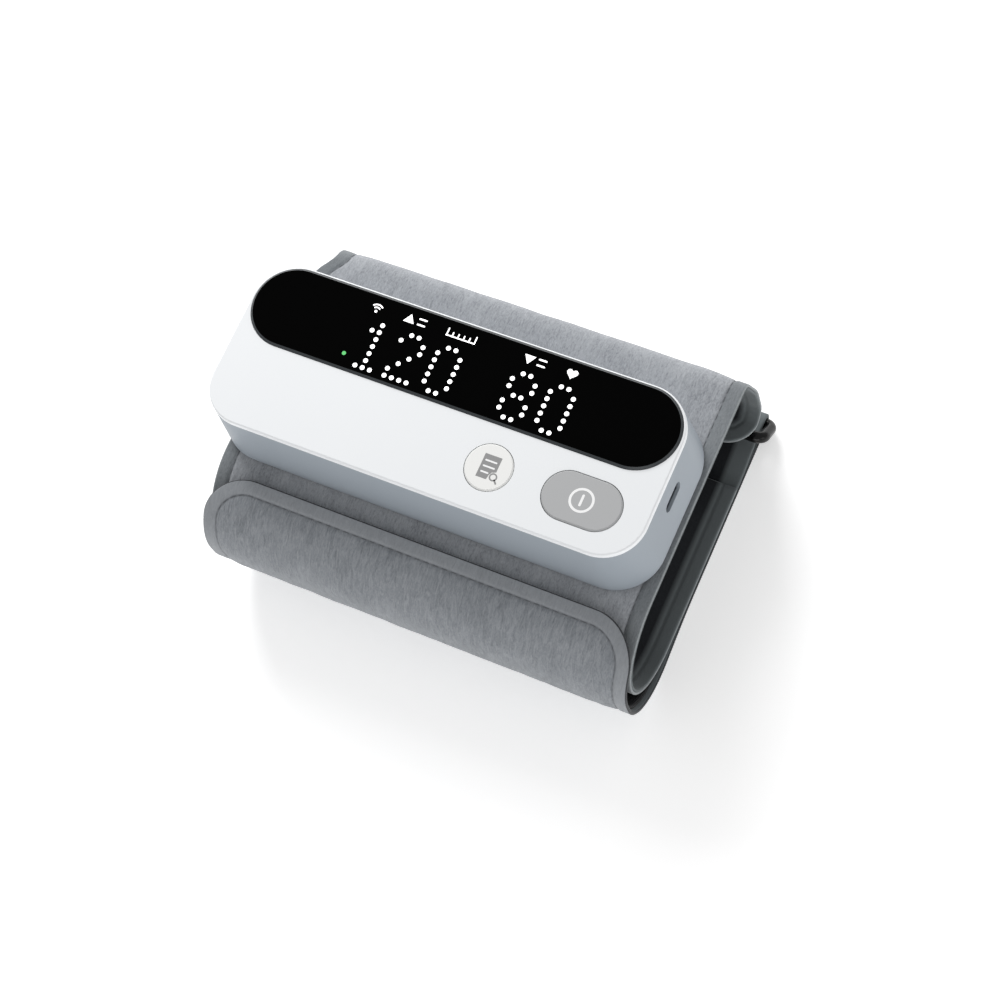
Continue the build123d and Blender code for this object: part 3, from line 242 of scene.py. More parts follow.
class Panel:
    """Outline of a fabric panel in its own flat coordinates: along the path, and across it."""

    def __init__(self, path, middle, start, end, half_width, start_r=0.0, end_r=0.0):
        self.path = path
        self.middle = middle
        self.start = start
        self.end = end
        self.half_width = half_width
        self.start_r = start_r
        self.end_r = end_r

    def place(self, along, x, depth):
        """Point in space at a length along, x from the panel's middle, and moved left by depth."""
        return self.path.place(along, x + self.middle, depth)

    def half_at(self, along, side):
        """The panel's width to one side at a length along, with its free corners rounded."""
        half = self.half_width(along, side)
        for radius, inside in ((self.start_r, along - self.start), (self.end_r, self.end - along)):
            if inside < radius:
                half += math.sqrt(max(0.0, radius ** 2 - (radius - inside) ** 2)) - radius
        return half

    def edge_distance(self, along, x):
        """Distance from the nearest free edge. A sewn end, of no corner radius, doesn't count."""
        side = self.half_width(along, -1 if x < 0 else 1) - abs(x)
        near = side
        for radius, inside in ((self.start_r, along - self.start), (self.end_r, self.end - along)):
            if not radius:
                continue
            if inside < radius and side < radius:
                near = min(near, radius - math.hypot(radius - inside, radius - side))
            else:
                near = min(near, inside)
        return max(0.0, near)

    def rows(self, coarse, fine):
        """Lengths along at which the mesh has a row, closer together at rounded ends."""
        stops = []
        along = self.start
        while along < self.end:
            stops.append(along)
            inside_start = along - self.start
            inside_end = self.end - along
            near = (self.start_r and inside_start < self.start_r + 2)
            near = near or (self.end_r and inside_end < self.end_r + 2)
            step = fine if near else coarse
            if self.start_r and inside_start < 1.0:
                step = fine / 4
            if self.end_r and inside_end < 1.0 + fine:
                step = fine / 4
            along += step
        if self.end - stops[-1] < fine / 8:
            stops.pop()
        return stops + [self.end]


def columns(half, fine_zone, fine, coarse):
    """Shares from -1 to 1 across the panel, closer together near its edges."""
    count = max(2, round(fine_zone / fine))
    edge = [index * fine_zone / count / half for index in range(count)]
    inner = half - fine_zone
    middle_count = max(2, round(2 * inner / coarse))
    step = 2 * inner / half / middle_count
    middle = [-inner / half + step * index for index in range(middle_count + 1)]
    return [-1 + e for e in edge] + middle + [1 - e for e in reversed(edge)]


def mesh_object(name, points, faces, materials, indices=None):
    """Closed, smooth mesh object from points in millimetres."""
    mesh = bpy.data.meshes.new(name)
    mesh.from_pydata([tuple(Vector(p) * MM) for p in points], [], faces)
    for material in materials:
        mesh.materials.append(material)
    if indices:
        mesh.polygons.foreach_set("material_index", indices)
    mesh.polygons.foreach_set("use_smooth", [True] * len(mesh.polygons))
    mesh.update()
    piece = bpy.data.objects.new(name, mesh)
    bpy.context.scene.collection.objects.link(piece)
    return piece


def turn_out(piece):
    """Turns all faces of a closed mesh outwards."""
    shape = bmesh.new()
    shape.from_mesh(piece.data)
    bmesh.ops.recalc_face_normals(shape, faces=shape.faces)
    shape.to_mesh(piece.data)
    shape.free()


def fabric_piece(name, panel, low, high, shares, steps, materials, bulge=RIM_BULGE):
    """Closed panel of fabric between two depths, with a rounded rim.

    low and high give the depth at a place from its length along, its x and its distance from
    the edge. The faces at low, those at high and the rim each take one of three materials.
    """
    rows = panel.rows(*steps)
    wide, tall = len(shares), len(rows)
    points, flat = [], []
    for depth_of in (low, high):
        for along in rows:
            for share in shares:
                x = share * panel.half_at(along, -1 if share < 0 else 1)
                near = panel.edge_distance(along, x)
                points.append(panel.place(along, x, depth_of(along, x, near)))
                flat.append((x, along, near))
    layer = wide * tall
    faces, indices = [], []
    for row in range(tall - 1):
        for column in range(wide - 1):
            a = row * wide + column
            b, c, d = a + 1, a + wide + 1, a + wide
            faces.append((a, d, c, b))
            indices.append(0)
            faces.append((a + layer, b + layer, c + layer, d + layer))
            indices.append(1)
    loop = list(range(wide - 1))
    loop += [row * wide + wide - 1 for row in range(tall - 1)]
    loop += [(tall - 1) * wide + column for column in range(wide - 1, 0, -1)]
    loop += [row * wide for row in range(tall - 1, 0, -1)]
    previous = loop
    stages = 3
    for stage in range(1, stages + 1):
        share = stage / (stages + 1)
        ring = []
        for index, corner in enumerate(loop):
            before = flat[loop[index - 1]]
            after = flat[loop[(index + 1) % len(loop)]]
            out = Vector((after[1] - before[1], before[0] - after[0]))
            out = out.normalized() * bulge * math.sin(math.pi * share)
            heading = panel.path.at(flat[corner][1])[1]
            point = points[corner].lerp(points[corner + layer], share)
            point = point + Vector((out.x, out.y * heading.x, out.y * heading.y))
            ring.append(len(points))
            points.append(point)
            flat.append((flat[corner][0], flat[corner][1], 0.0))
        join_loops(previous, ring, faces, indices)
        previous = ring
    join_loops(previous, [corner + layer for corner in loop], faces, indices)
    piece = mesh_object(name, points, faces, materials, indices)
    attribute = piece.data.attributes.new("cloth", "FLOAT_VECTOR", "POINT")
    attribute.data.foreach_set("vector", [value for place in flat for value in place])
    turn_out(piece)
    return piece


def join_loops(first, second, faces, indices):
    for index in range(len(first)):
        after = (index + 1) % len(first)
        faces.append((first[index], first[after], second[after], second[index]))
        indices.append(2)


def seam(near):
    """Depth of the groove that a seam presses beside a free edge, from 0 to 1."""
    return math.exp(-((near - BORDER) / SEAM_HALF_WIDTH) ** 2)


def crease(along, x, wave, long_wave, seed):
    """Gentle unevenness of the cloth, from -1 to 1, longer along the wrap than across it."""
    return noise.noise(Vector((x / wave, along / long_wave, seed)))


# Materials
def colour(code):
    """Linear colour of a hex code."""
    parts = [int(code[index:index + 2], 16) / 255 for index in (0, 2, 4)]
    linear = [p / 12.92 if p <= 0.04045 else ((p + 0.055) / 1.055) ** 2.4 for p in parts]
    return (*linear, 1.0)


SOCKETS = {
    "base": "Base Color",
    "roughness": "Roughness",
    "metallic": "Metallic",
    "normal": "Normal",
    "specular": "Specular IOR Level",
    "sheen": "Sheen Weight",
    "sheen_roughness": "Sheen Roughness",
    "emission": "Emission Color",
    "emission_strength": "Emission Strength",
}


class Nodes:
    """A material's node tree, with short calls for the nodes used here."""

    def __init__(self, name):
        self.material = bpy.data.materials.new(name)
        self.material.use_nodes = True
        self.tree = self.material.node_tree
        self.shader = self.tree.nodes["Principled BSDF"]

    def feed(self, socket, value):
        """Links another node's output to a socket, or gives the socket a plain value."""
        if isinstance(value, bpy.types.NodeSocket):
            self.tree.links.new(value, socket)
        else:
            socket.default_value = value

    def node(self, kind, inputs=None, **settings):
        made = self.tree.nodes.new(kind)
        for key, value in settings.items():
            setattr(made, key, value)
        for key, value in (inputs or {}).items():
            self.feed(made.inputs[key], value)
        return made

    def set(self, **values):
        """Feeds the shader's own sockets."""
        for key, value in values.items():
            self.feed(self.shader.inputs[SOCKETS[key]], value)

    def cloth(self, scale):
        """The fabric's own coordinates in millimetres, times scale."""
        place = self.node("ShaderNodeAttribute", attribute_name="cloth").outputs["Vector"]
        return self.node("ShaderNodeMapping", {"Vector": place, "Scale": scale}).outputs["Vector"]

    def edge_distance(self):
        """Distance in millimetres from the fabric's nearest free edge."""
        place = self.cloth((1.0, 1.0, 1.0))
        return self.node("ShaderNodeSeparateXYZ", {"Vector": place}).outputs["Z"]

    def solid(self, scale):
        """The object's own coordinates, times scale per metre."""
        place = self.node("ShaderNodeTexCoord").outputs["Object"]
        return self.node("ShaderNodeMapping", {"Vector": place, "Scale": scale}).outputs["Vector"]

    def noise(self, vector, detail=3.0, roughness=0.55, distortion=0.0):
        inputs = {"Vector": vector, "Scale": 1.0, "Detail": detail,
                  "Roughness": roughness, "Distortion": distortion}
        return self.node("ShaderNodeTexNoise", inputs).outputs["Fac"]

    def ramp(self, factor, stops):
        made = self.node("ShaderNodeValToRGB", {"Fac": factor})
        elements = made.color_ramp.elements
        while len(elements) < len(stops):
            elements.new(0.5)
        for element, (place, shade) in zip(elements, stops):
            element.position = place
            element.color = shade
        return made.outputs["Color"]

    def span(self, value, low, high, at_low, at_high):
        """Turns a value between low and high into one between at_low and at_high."""
        inputs = {"Value": value, "From Min": low, "From Max": high,
                  "To Min": at_low, "To Max": at_high}
        return self.node("ShaderNodeMapRange", inputs).outputs["Result"]

    def mix(self, factor, first, second):
        inputs = {0: factor, 6: first, 7: second}
        return self.node("ShaderNodeMix", inputs, data_type="RGBA").outputs[2]

    def math(self, operation, first, second=0.0):
        return self.node("ShaderNodeMath", {0: first, 1: second}, operation=operation).outputs[0]

    def bump(self, height, strength, distance_mm, normal=None):
        inputs = {"Height": height, "Strength": strength, "Distance": distance_mm * MM}
        if normal is not None:
            inputs["Normal"] = normal
        return self.node("ShaderNodeBump", inputs).outputs["Normal"]


def brushed_fabric(name, dark, middle, light, streaks, border=None):
    """Brushed loop fabric: wavy streaks along the wrap, short fibres, a pressed border and painted
    shade along the seam's groove.
    """
    nodes = Nodes(name)
    streak = nodes.noise(nodes.cloth((1.0, 0.2, 0.0)), 3.0, 0.55, 1.4)
    clouds = nodes.noise(nodes.cloth((0.07, 0.045, 0.0)), 2.0, 0.5, 0.4)
    pile = nodes.noise(nodes.cloth((2.6, 1.1, 0.0)), 3.0, 0.7, 0.5)
    fibre = nodes.noise(nodes.cloth((7.0, 3.0, 0.0)), 2.0, 0.6)
    blend = nodes.math("MULTIPLY", streak, 0.5 * streaks)
    blend = nodes.math("ADD", blend, nodes.math("MULTIPLY", clouds, 0.2))
    blend = nodes.math("ADD", blend, nodes.math("MULTIPLY", pile, 0.5))
    blend = nodes.math("MULTIPLY", blend, 1 / (0.7 + 0.5 * streaks))
    stops = [(0.36, colour(dark)), (0.5, colour(middle)), (0.64, colour(light))]
    shade = nodes.ramp(blend, stops)
    # Inside the border the colour moves towards the border's own. On the cover that darker grey is
    # partly the border's own tone and partly painted shade.
    if border:
        near = nodes.edge_distance()
        share = nodes.span(near, BORDER - 0.5, BORDER + 0.4, 0.6, 0.0)
        shade = nodes.mix(share, shade, colour(border))
        # Painted shade: the fabric darkens within half a millimetre of the seam, in its groove.
        off_seam = nodes.math("ABSOLUTE", nodes.math("SUBTRACT", near, BORDER))
        line = nodes.span(off_seam, 0.1, 0.5, SEAM_GROOVE_SHADE_SHARE, 0.0)
        shade = nodes.mix(line, shade, colour(SEAM_GROOVE_PAINTED_SHADE))
    height = nodes.math("MULTIPLY", streak, 1.6 * streaks)
    height = nodes.math("ADD", height, nodes.math("MULTIPLY", pile, 0.7))
    normal = nodes.bump(height, 0.5, 0.35)
    normal = nodes.bump(fibre, 0.35, 0.12, normal)
    nodes.set(base=shade, roughness=0.92, normal=normal, specular=0.15)
    nodes.set(sheen=0.25, sheen_roughness=0.5)
    return nodes.material


def woven_fabric(name, shade, light, pitch=0.55, band=None):
    """Close plain weave, for the lining and the webbing."""
    nodes = Nodes(name)
    per_mm = 2 / pitch
    inputs = {"Vector": nodes.cloth((per_mm, per_mm, 0.0)), "Scale": 1.0}
    cells = nodes.node("ShaderNodeTexChecker", inputs).outputs["Fac"]
    fuzz = nodes.noise(nodes.cloth((1.3, 1.3, 0.0)), 4.0, 0.65)
    mixed = nodes.mix(fuzz, colour(shade), colour(light))
    share = nodes.span(nodes.edge_distance(), BAND - 1.2, BAND + 0.6, 1.0, 0.0)
    mixed = nodes.mix(share, mixed, colour(band or light))
    height = nodes.math("ADD", nodes.math("MULTIPLY", cells, 0.25), fuzz)
    normal = nodes.bump(height, 0.4, 0.15)
    nodes.set(base=mixed, roughness=0.9, normal=normal, sheen=0.15, specular=0.15)
    return nodes.material


def hook_fabric(name):
    """Black layer of small stiff hooks in rows."""
    nodes = Nodes(name)
    hooks = nodes.node("ShaderNodeTexVoronoi", {
        "Vector": nodes.cloth((1.5, 1.5, 0.0)), "Scale": 1.0, "Randomness": 0.35,
    }).outputs["Distance"]
    shade = nodes.ramp(hooks, [(0.05, colour("2B2D30")), (0.5, colour("0D0E0F"))])
    nodes.set(base=shade, roughness=0.6, normal=nodes.bump(hooks, 0.8, 0.3), specular=0.3)
    return nodes.material


def moulded_plastic(name, shade, roughness, grain, fleck, specular=0.5):
    """Moulded plastic: a fine spark-eroded grain and the faintest unevenness of colour."""
    nodes = Nodes(name)
    cloud = nodes.noise(nodes.solid((25.0, 25.0, 25.0)), 2.0)
    grains = nodes.noise(nodes.solid((4200.0, 4200.0, 4200.0)), 2.0)
    base = colour(shade)
    low = tuple(value * (1 - fleck) for value in base[:3]) + (1.0,)
    tone = nodes.ramp(cloud, [(0.3, low), (0.7, base)])
    rough = nodes.span(grains, 0.0, 1.0, roughness * 0.9, roughness * 1.1)
    normal = nodes.bump(grains, grain, 0.05)
    nodes.set(base=tone, roughness=rough, normal=normal, specular=specular)
    return nodes.material


def metal(name, shade, roughness):
    """Drawn metal with fine lines."""
    nodes = Nodes(name)
    lines = nodes.noise(nodes.solid((300.0, 5000.0, 5000.0)), 2.0)
    rough = nodes.span(lines, 0.0, 1.0, roughness * 0.8, roughness * 1.3)
    normal = nodes.bump(lines, 0.05, 0.02)
    nodes.set(base=colour(shade), metallic=1.0, roughness=rough, normal=normal)
    return nodes.material


def glowing(name, shade, strength):
    """Lit mark in the display, its glow a little uneven from place to place."""
    nodes = Nodes(name)
    cloud = nodes.noise(nodes.solid((400.0, 400.0, 400.0)), 1.0)
    glow = nodes.span(cloud, 0.0, 1.0, strength * 0.97, strength)
    nodes.set(base=colour(shade), roughness=0.5, specular=0.2)
    nodes.set(emission=colour(shade), emission_strength=glow)
    return nodes.material


# The cover's border colour, 62686A, is partly the pressed border's slightly darker grey and partly
# painted shade.
cover_fabric = brushed_fabric("outer_fabric", "84878C", "A4A7AC", "B6B9BD", 0.7, "62686A")
wrap_fabric = brushed_fabric("wrap_fabric", "767A7F", "8A8E93", "9C9FA4", 1.3, "989B9F")
# Painted sheen: the tube's sewn rim takes a grey of its own, lighter than the border beside it.
rim_sheen_fabric = brushed_fabric("rim_sheen_fabric", "8A8F92", "979C9E", "A2A7A9", 0.4)
wrap_edge = brushed_fabric("wrap_edge", "2A2C2F", "36383B", "424447", 0.4)
lining_fabric = woven_fabric("lining_fabric", "16181B", "2A2D31", band="6A7072")
webbing = woven_fabric("webbing", "17181A", "26282B", 0.9)
hooks = hook_fabric("hook_fabric")
thread = brushed_fabric("thread", "5B5E62", "686B6F", "74777B", 0.2)

SLOT_MATERIALS = {
    "white_plastic": moulded_plastic("white_plastic", "F2F4F6", 0.4, 0.02, 0.01, 0.3),
    "bluegrey_plastic": moulded_plastic("bluegrey_plastic", "9AA2AA", 0.45, 0.05, 0.02, 0.3),
    "black_panel": moulded_plastic("black_panel", "010101", 0.08, 0.0, 0.0, 0.04),
    "button_white": moulded_plastic("button_white", "F3F3F1", 0.4, 0.03, 0.01, 0.3),
    "button_grey": moulded_plastic("button_grey", "B4B5B6", 0.45, 0.03, 0.01, 0.3),
    "black_plastic": moulded_plastic("black_plastic", "1B1C1E", 0.45, 0.06, 0.05),
    "board": moulded_plastic("board", "1F5A3A", 0.4, 0.08, 0.15),
    "led": moulded_plastic("led", "E9E4C8", 0.3, 0.0, 0.02),
    "steel": metal("steel", "B4B7BA", 0.3),
    "port_metal": metal("port_metal", "8F959B", 0.35),
    "rubber": moulded_plastic("rubber", "2A2B2D", 0.75, 0.1, 0.08),
    "silicone": moulded_plastic("silicone", "C9CFD2", 0.45, 0.02, 0.03),
    "cell": moulded_plastic("cell", "3E6C8E", 0.35, 0.02, 0.04),
    "outer_fabric": cover_fabric,
    "lining_fabric": lining_fabric,
    "hook_fabric": hooks,
    "bladder_film": moulded_plastic("bladder_film", "4B5054", 0.3, 0.02, 0.05),
    "ring_black": moulded_plastic("ring_black", "070708", 0.22, 0.01, 0.0, 0.3),
}
lit_white = glowing("lit_white", "FFFFFF", 1.0)
lit_green = glowing("lit_green", "58B368", 0.6)
print_grey = moulded_plastic("print_grey", "929292", 0.5, 0.02, 0.02)
print_white = moulded_plastic("print_white", "FAFAFA", 0.5, 0.02, 0.01)
lens_bevel = moulded_plastic("lens_bevel", "3C4043", 0.3, 0.0, 0.0, 0.3)


def dress_nodes():
    """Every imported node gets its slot's material and smooth shading between its sharp edges."""
    slot_of = {}
    for entry in frame["record"]["materials"]:
        for node in entry.get("nodes", []):
            slot_of[node] = entry["slot"]
    for name, node in frame["nodes"].items():
        slot = slot_of.get(name)
        if slot is None:
            subparts = frame["record"]["subparts"]
            slot = next(part["material_slot"] for part in subparts if part["node"] == name)
        node.data.materials.clear()
        node.data.materials.append(SLOT_MATERIALS[slot])
        node.data.polygons.foreach_set("use_smooth", [True] * len(node.data.polygons))
        node.data.set_sharp_from_angle(angle=math.radians(30))
    lens = frame["nodes"]["display_lens"].data
    lens.materials.append(lens_bevel)
    for face in lens.polygons:
        if face.normal.z < 0.9:
            face.material_index = 1


# Cuff
def tube_path():
    """Outer face of the tube, from its free inner end round to the tail strap."""
    points = [END_FLAP, (BACK_FOOT_Y, END_FLAP[1]), BACK_KNEE, (BACK_TOP_Y, TUBE_TOP),
              (TUBE_FRONT, TUBE_TOP), (TUBE_FRONT, TUBE_FOOT), (LOWER_END_Y, TUBE_FOOT)]
    return Path(points, [*BACK_RADII, CURL_R, CURL_R])


def wrap_path():
    """Inner face of the wrap: over the ring's bar, back under the tube and up into the flap."""
    flap_top = HINGE_Z + 0.2 + FLAP_INNER_R
    points = [(LOWER_END_Y + 0.1, TUBE_FOOT), (STRAP_RISE_Y, TUBE_FOOT), (HEM_BAR_Y, STRAP_OVER_Z),
              (STRAP_BACK, STRAP_OVER_Z), (STRAP_BACK, STRAP_FOOT), (STRAP_FRONT, STRAP_FOOT),
              (STRAP_FRONT, flap_top), (STRAP_FRONT + 2 * FLAP_INNER_R, flap_top)]
    return Path(points, [3.0, 15.0, FOLD_R, FOLD_R, FRONT_R, FLAP_INNER_R])


def straight_run(path, number):
    """Length along at which a path's straight run of that number starts, and its start."""
    along, _, start = path.parts[2 * number][:3]
    return along, start


TUBE = tube_path()
WRAP = wrap_path()
flap_arc = WRAP.parts[-2]
WRAP_END = flap_arc[0] + math.radians(FLAP_ARC) * FLAP_INNER_R
HINGE_ALONG = flap_arc[0]
UNDER_ALONG = straight_run(WRAP, 4)[0]
TOP_ALONG, TOP_START = straight_run(TUBE, 3)
PINCH_HIGH = tuple(TOP_ALONG + TOP_START.x - y for y in PINCH_HIGH_Y)


def tube_half(along, side):
    """The tube's width to one side. Its left edge pulls in at the back shoulder."""
    half = TUBE_HALF_WIDTH - RIM_BULGE
    if side < 0:
        half -= PINCH * smooth(along, *PINCH_LOW) * (1 - smooth(along, *PINCH_HIGH))
    return half


tube_panel = Panel(TUBE, TUBE_X, 0.0, TUBE.length, tube_half, start_r=END_CORNER_R)


def fill_at(along):
    """How full the tube is: slack at its free end and where it runs into the strap."""
    thinned = smooth(along, *(TUBE.length - before for before in THINS))
    return smooth(along, *FILLS) * (1 - thinned)


def cover_depth(along, x, near):
    swell = smooth(near, BORDER, BORDER + 7.0)
    flat = SEWN_IN * (1 - swell) + SEAM_DEPTH * seam(near)
    folds = 0.22 * swell * crease(along, x, 9.0, 26.0, 3.1)
    return flat + folds + 0.06 * crease(along, x, 2.4, 9.0, 8.7)


def cover_back(along, x, near):
    return max(cover_depth(along, x, near) + CLOTH_T, SEWN_IN + SEWN_T / 2)


def lining_front(along, x, near):
    return cover_back(along, x, near) + PLY_GAP


def lining_depth(along, x, near):
    swell = smooth(near, BORDER + 0.4, BORDER + 6.5) * (0.35 + 0.65 * fill_at(along))
    flat = SEWN_IN + SEWN_T - 0.3 * seam(near)
    full = TUBE_T + 0.1 + 0.25 * crease(along, x, 11.0, 16.0, 5.2)
    return flat + (full - flat) * swell


def tube_pieces():
    shares = columns(TUBE_HALF_WIDTH, 13.0, 0.5, 1.7)
    cover = fabric_piece("cuff_outer_fabric", tube_panel, cover_depth, cover_back, shares,
                         TUBE_STEPS, [cover_fabric, cover_fabric, rim_sheen_fabric])
    lining = fabric_piece("cuff_inner_lining", tube_panel, lining_front, lining_depth, shares,
                          TUBE_STEPS, [lining_fabric] * 3)
    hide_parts("cuff_cover")
    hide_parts("cuff_lining")
    for piece in (cover, lining):
        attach(piece, "monitor_and_cuff")


def wrap_half(along, side):
    """The wrap grows from the strap's width to the flap's."""
    growth = smooth(along, *(HINGE_ALONG - before for before in WIDENS))
    return STRAP_HALF_WIDTH + (FLAP_HALF_WIDTH - STRAP_HALF_WIDTH) * growth - RIM_BULGE


wrap_panel = Panel(WRAP, WRAP_X, 0.0, WRAP_END, wrap_half, end_r=FLAP_CORNER_R)
hook_panel = Panel(WRAP, WRAP_X, UNDER_ALONG + RING_CLEAR, WRAP_END - HOOK_INSET,
                   lambda along, side: wrap_half(along, side) - HOOK_INSET,
                   end_r=FLAP_CORNER_R - HOOK_INSET)


def wrap_depth(along, x, near):
    """Depth of the wrap's outer face, quilted a little inside its border on the flap."""
    on_flap = smooth(along, *(HINGE_ALONG - before for before in QUILTS))
    swell = smooth(near, BORDER, BORDER + 5.0)
    outer = STRAP_T + on_flap * (0.35 * swell - SEAM_DEPTH * seam(near))
    ripple = 0.1 * crease(along, x, 2.6, 11.0, 1.7) + 0.16 * crease(along, x, 8.0, 24.0, 6.3)
    lift = max(0.15, swell) * on_flap
    return outer + ripple * lift


def wrap_pieces():
    shares = columns(FLAP_HALF_WIDTH, 20.0, 0.55, 1.25)
    wrap = fabric_piece("wrap_and_flap_fabric", wrap_panel, lambda along, x, near: 0.0,
                        wrap_depth, shares, WRAP_STEPS, [lining_fabric, wrap_fabric, wrap_edge])
    # Painted shade: up to its fold under the tube, the wrap takes the dark lining on its outer
    # face and rim too, round the fold at the ring.
    cloth = wrap.data.attributes["cloth"].data
    for face in wrap.data.polygons:
        along = sum(cloth[corner].vector.y for corner in face.vertices) / len(face.vertices)
        if along < UNDER_ALONG:
            face.material_index = 0
    hook_shares = columns(FLAP_HALF_WIDTH, 16.0, 1.2, 2.0)
    hook = fabric_piece("hook_layer", hook_panel, lambda along, x, near: -HOOK_T,
                        lambda along, x, near: -PLY_GAP, hook_shares, HOOK_STEPS, [hooks] * 3, 0.2)
    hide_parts("tail_strap", "closure_flap")
    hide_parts("hook_panel", "flap_hook")
    return wrap, hook


def seam_line(panel, at_end, far):
    """Places along the seam beside the panel's sides and its one free end, as (along, x)."""
    limit, radius = (panel.end, panel.end_r) if at_end else (panel.start, panel.start_r)
    inward = -1 if at_end else 1
    bend = radius - BORDER
    centre = limit + inward * radius

    def half_seam(side):
        run = abs(centre - far)
        count = int(run / 0.5)
        stops = [far + (centre - far) * index / count for index in range(count)]
        places = [(along, side * (panel.half_width(along, side) - BORDER)) for along in stops]
        core = panel.half_width(limit, side) - radius
        for index in range(25):
            angle = math.pi / 2 * index / 24
            across = side * (core + bend * math.cos(angle))
            places.append((centre - inward * bend * math.sin(angle), across))
        count = int(core / 0.5)
        for index in range(1, count):
            places.append((centre - inward * bend, side * core * (1 - index / count)))
        return places

    return half_seam(1) + list(reversed(half_seam(-1)))


def stitches(name, panel, lines, depth_of, lift):
    """Row of short raised threads along each line of places on the panel."""
    points, faces = [], []
    sides = 6
    rings = ((0.0, 0.35), (0.12, 0.8), (0.5, 1.0), (0.88, 0.8), (1.0, 0.35))
    for line in lines:
        placed = []
        for along, x in line:
            near = panel.edge_distance(along, x)
            placed.append((panel.place(along, x, depth_of(along, x, near) + lift), along))
        travelled, next_stitch = 0.0, STITCH_PITCH / 2
        for (first, along), (second, _) in zip(placed, placed[1:]):
            step = (second - first).length
            if step > 1e-6 and travelled + step >= next_stitch:
                middle = first.lerp(second, (next_stitch - travelled) / step)
                direction = (second - first).normalized()
                heading = panel.path.at(along)[1]
                normal = Vector((0, -heading.y, heading.x))
                side = direction.cross(normal).normalized()
                base = len(points)
                for share, swell in rings:
                    sink = math.copysign(0.5 * STITCH_R * (2 * share - 1) ** 2, lift)
                    centre = middle + direction * STITCH_LENGTH * (share - 0.5) - normal * sink
                    for index in range(sides):
                        angle = 2 * math.pi * index / sides
                        spoke = side * math.cos(angle) + normal * math.sin(angle)
                        points.append(centre + spoke * STITCH_R * swell)
                for ring in range(len(rings) - 1):
                    for index in range(sides):
                        a = base + ring * sides + index
                        b = base + ring * sides + (index + 1) % sides
                        faces.append((a, b, b + sides, a + sides))
                last = base + (len(rings) - 1) * sides
                faces.append(tuple(base + index for index in range(sides)))
                faces.append(tuple(last + index for index in reversed(range(sides))))
                next_stitch += STITCH_PITCH
            travelled += step
    piece = mesh_object(name, points, faces, [thread])
    turn_out(piece)
    return piece


def ring_tab_piece():
    """Webbing loop round the ring's upper bar, sewn under the inner end."""
    low, high = box_mm("ring_tab")
    bar_low, top = low.z + TAB_T, high.z - TAB_T
    back = high.y - TAB_T
    points = [(low.y, top), (back, top), (back, bar_low), (HEM_BAR_Y - 1.9, bar_low),
              (low.y, top - TAB_T - 0.1)]
    path = Path(points, [FOLD_R, FOLD_R, 0.4])
    half = (high.x - low.x) / 2
    panel = Panel(path, (low.x + high.x) / 2, 0.0, path.length, lambda along, side: half - 0.15)
    shares = columns(half, 4.0, 0.8, 4.0)
    tab = fabric_piece("ring_tab_webbing", panel, lambda along, x, near: 0.0,
                       lambda along, x, near: TAB_T + 0.04 * math.sin(x * 1.3), shares,
                       TAB_STEPS, [webbing] * 3, 0.15)
    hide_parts("ring_tab")
    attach(tab, "monitor_and_cuff")


def cuff():
    tube_pieces()
    wrap, hook = wrap_pieces()
    tube_seam = seam_line(tube_panel, False, TUBE.length - 1.0)
    tube_threads = stitches("tube_seam_stitches", tube_panel, [tube_seam], cover_depth, -0.05)
    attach(tube_threads, "monitor_and_cuff")
    wrap_seam = seam_line(wrap_panel, True, UNDER_ALONG + RING_CLEAR)
    wrap_threads = stitches("wrap_seam_stitches", wrap_panel, [wrap_seam], wrap_depth, 0.05)
    for piece in (wrap, hook, wrap_threads):
        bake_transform(piece)
    ring_tab_piece()


# Marks on the display and the buttons
class Marks:
    """Thin raised print, built from simple shapes in the monitor's own x and y."""

    def __init__(self, top, shift=(0.0, 0.0)):
        self.top = top
        self.shift = shift
        self.points = []
        self.faces = []

    def prism(self, outline):
        """Flat shape from its outline, turned counterclockwise."""
        count = len(outline)
        base = len(self.points)
        for z in (self.top - PRINT_T, self.top + PRINT_T):
            self.points += [(x + BODY_X + self.shift[0], y + self.shift[1], z) for x, y in outline]
        self.faces.append(tuple(base + count + index for index in range(count)))
        self.faces.append(tuple(base + index for index in reversed(range(count))))
        top = base + count
        for index in range(count):
            after = (index + 1) % count
            self.faces.append((base + index, base + after, top + after, top + index))

    def disc(self, x, y, radius, sides=24):
        turns = [2 * math.pi * index / sides for index in range(sides)]
        self.prism([(x + radius * math.cos(t), y + radius * math.sin(t)) for t in turns])

    def bar(self, start, end, width):
        """Stroke with round ends."""
        x0, y0 = start
        x1, y1 = end
        angle = math.atan2(y1 - y0, x1 - x0)
        outline = []
        for (x, y), first in (((x1, y1), angle - math.pi / 2), ((x0, y0), angle + math.pi / 2)):
            for index in range(9):
                turn = first + math.pi * index / 8
                outline.append((x + width / 2 * math.cos(turn), y + width / 2 * math.sin(turn)))
        self.prism(outline)

    def arc(self, x, y, radius, width, start=0.0, sweep=360.0):
        """Stroke round part of a circle, as joined short prisms."""
        count = max(6, round(sweep / 7.5))
        inner, outer = radius - width / 2, radius + width / 2
        for index in range(count):
            a = math.radians(start + sweep * index / count)
            b = math.radians(start + sweep * (index + 1) / count)
            self.prism([(x + inner * math.cos(a), y + inner * math.sin(a)),
                        (x + outer * math.cos(a), y + outer * math.sin(a)),
                        (x + outer * math.cos(b), y + outer * math.sin(b)),
                        (x + inner * math.cos(b), y + inner * math.sin(b))])

    def piece(self, name, material, slot, body):
        made = mesh_object(name, self.points, self.faces, [material])
        turn_out(made)
        made.data.polygons.foreach_set("use_smooth", [False] * len(made.data.polygons))
        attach(made, body)
        return made


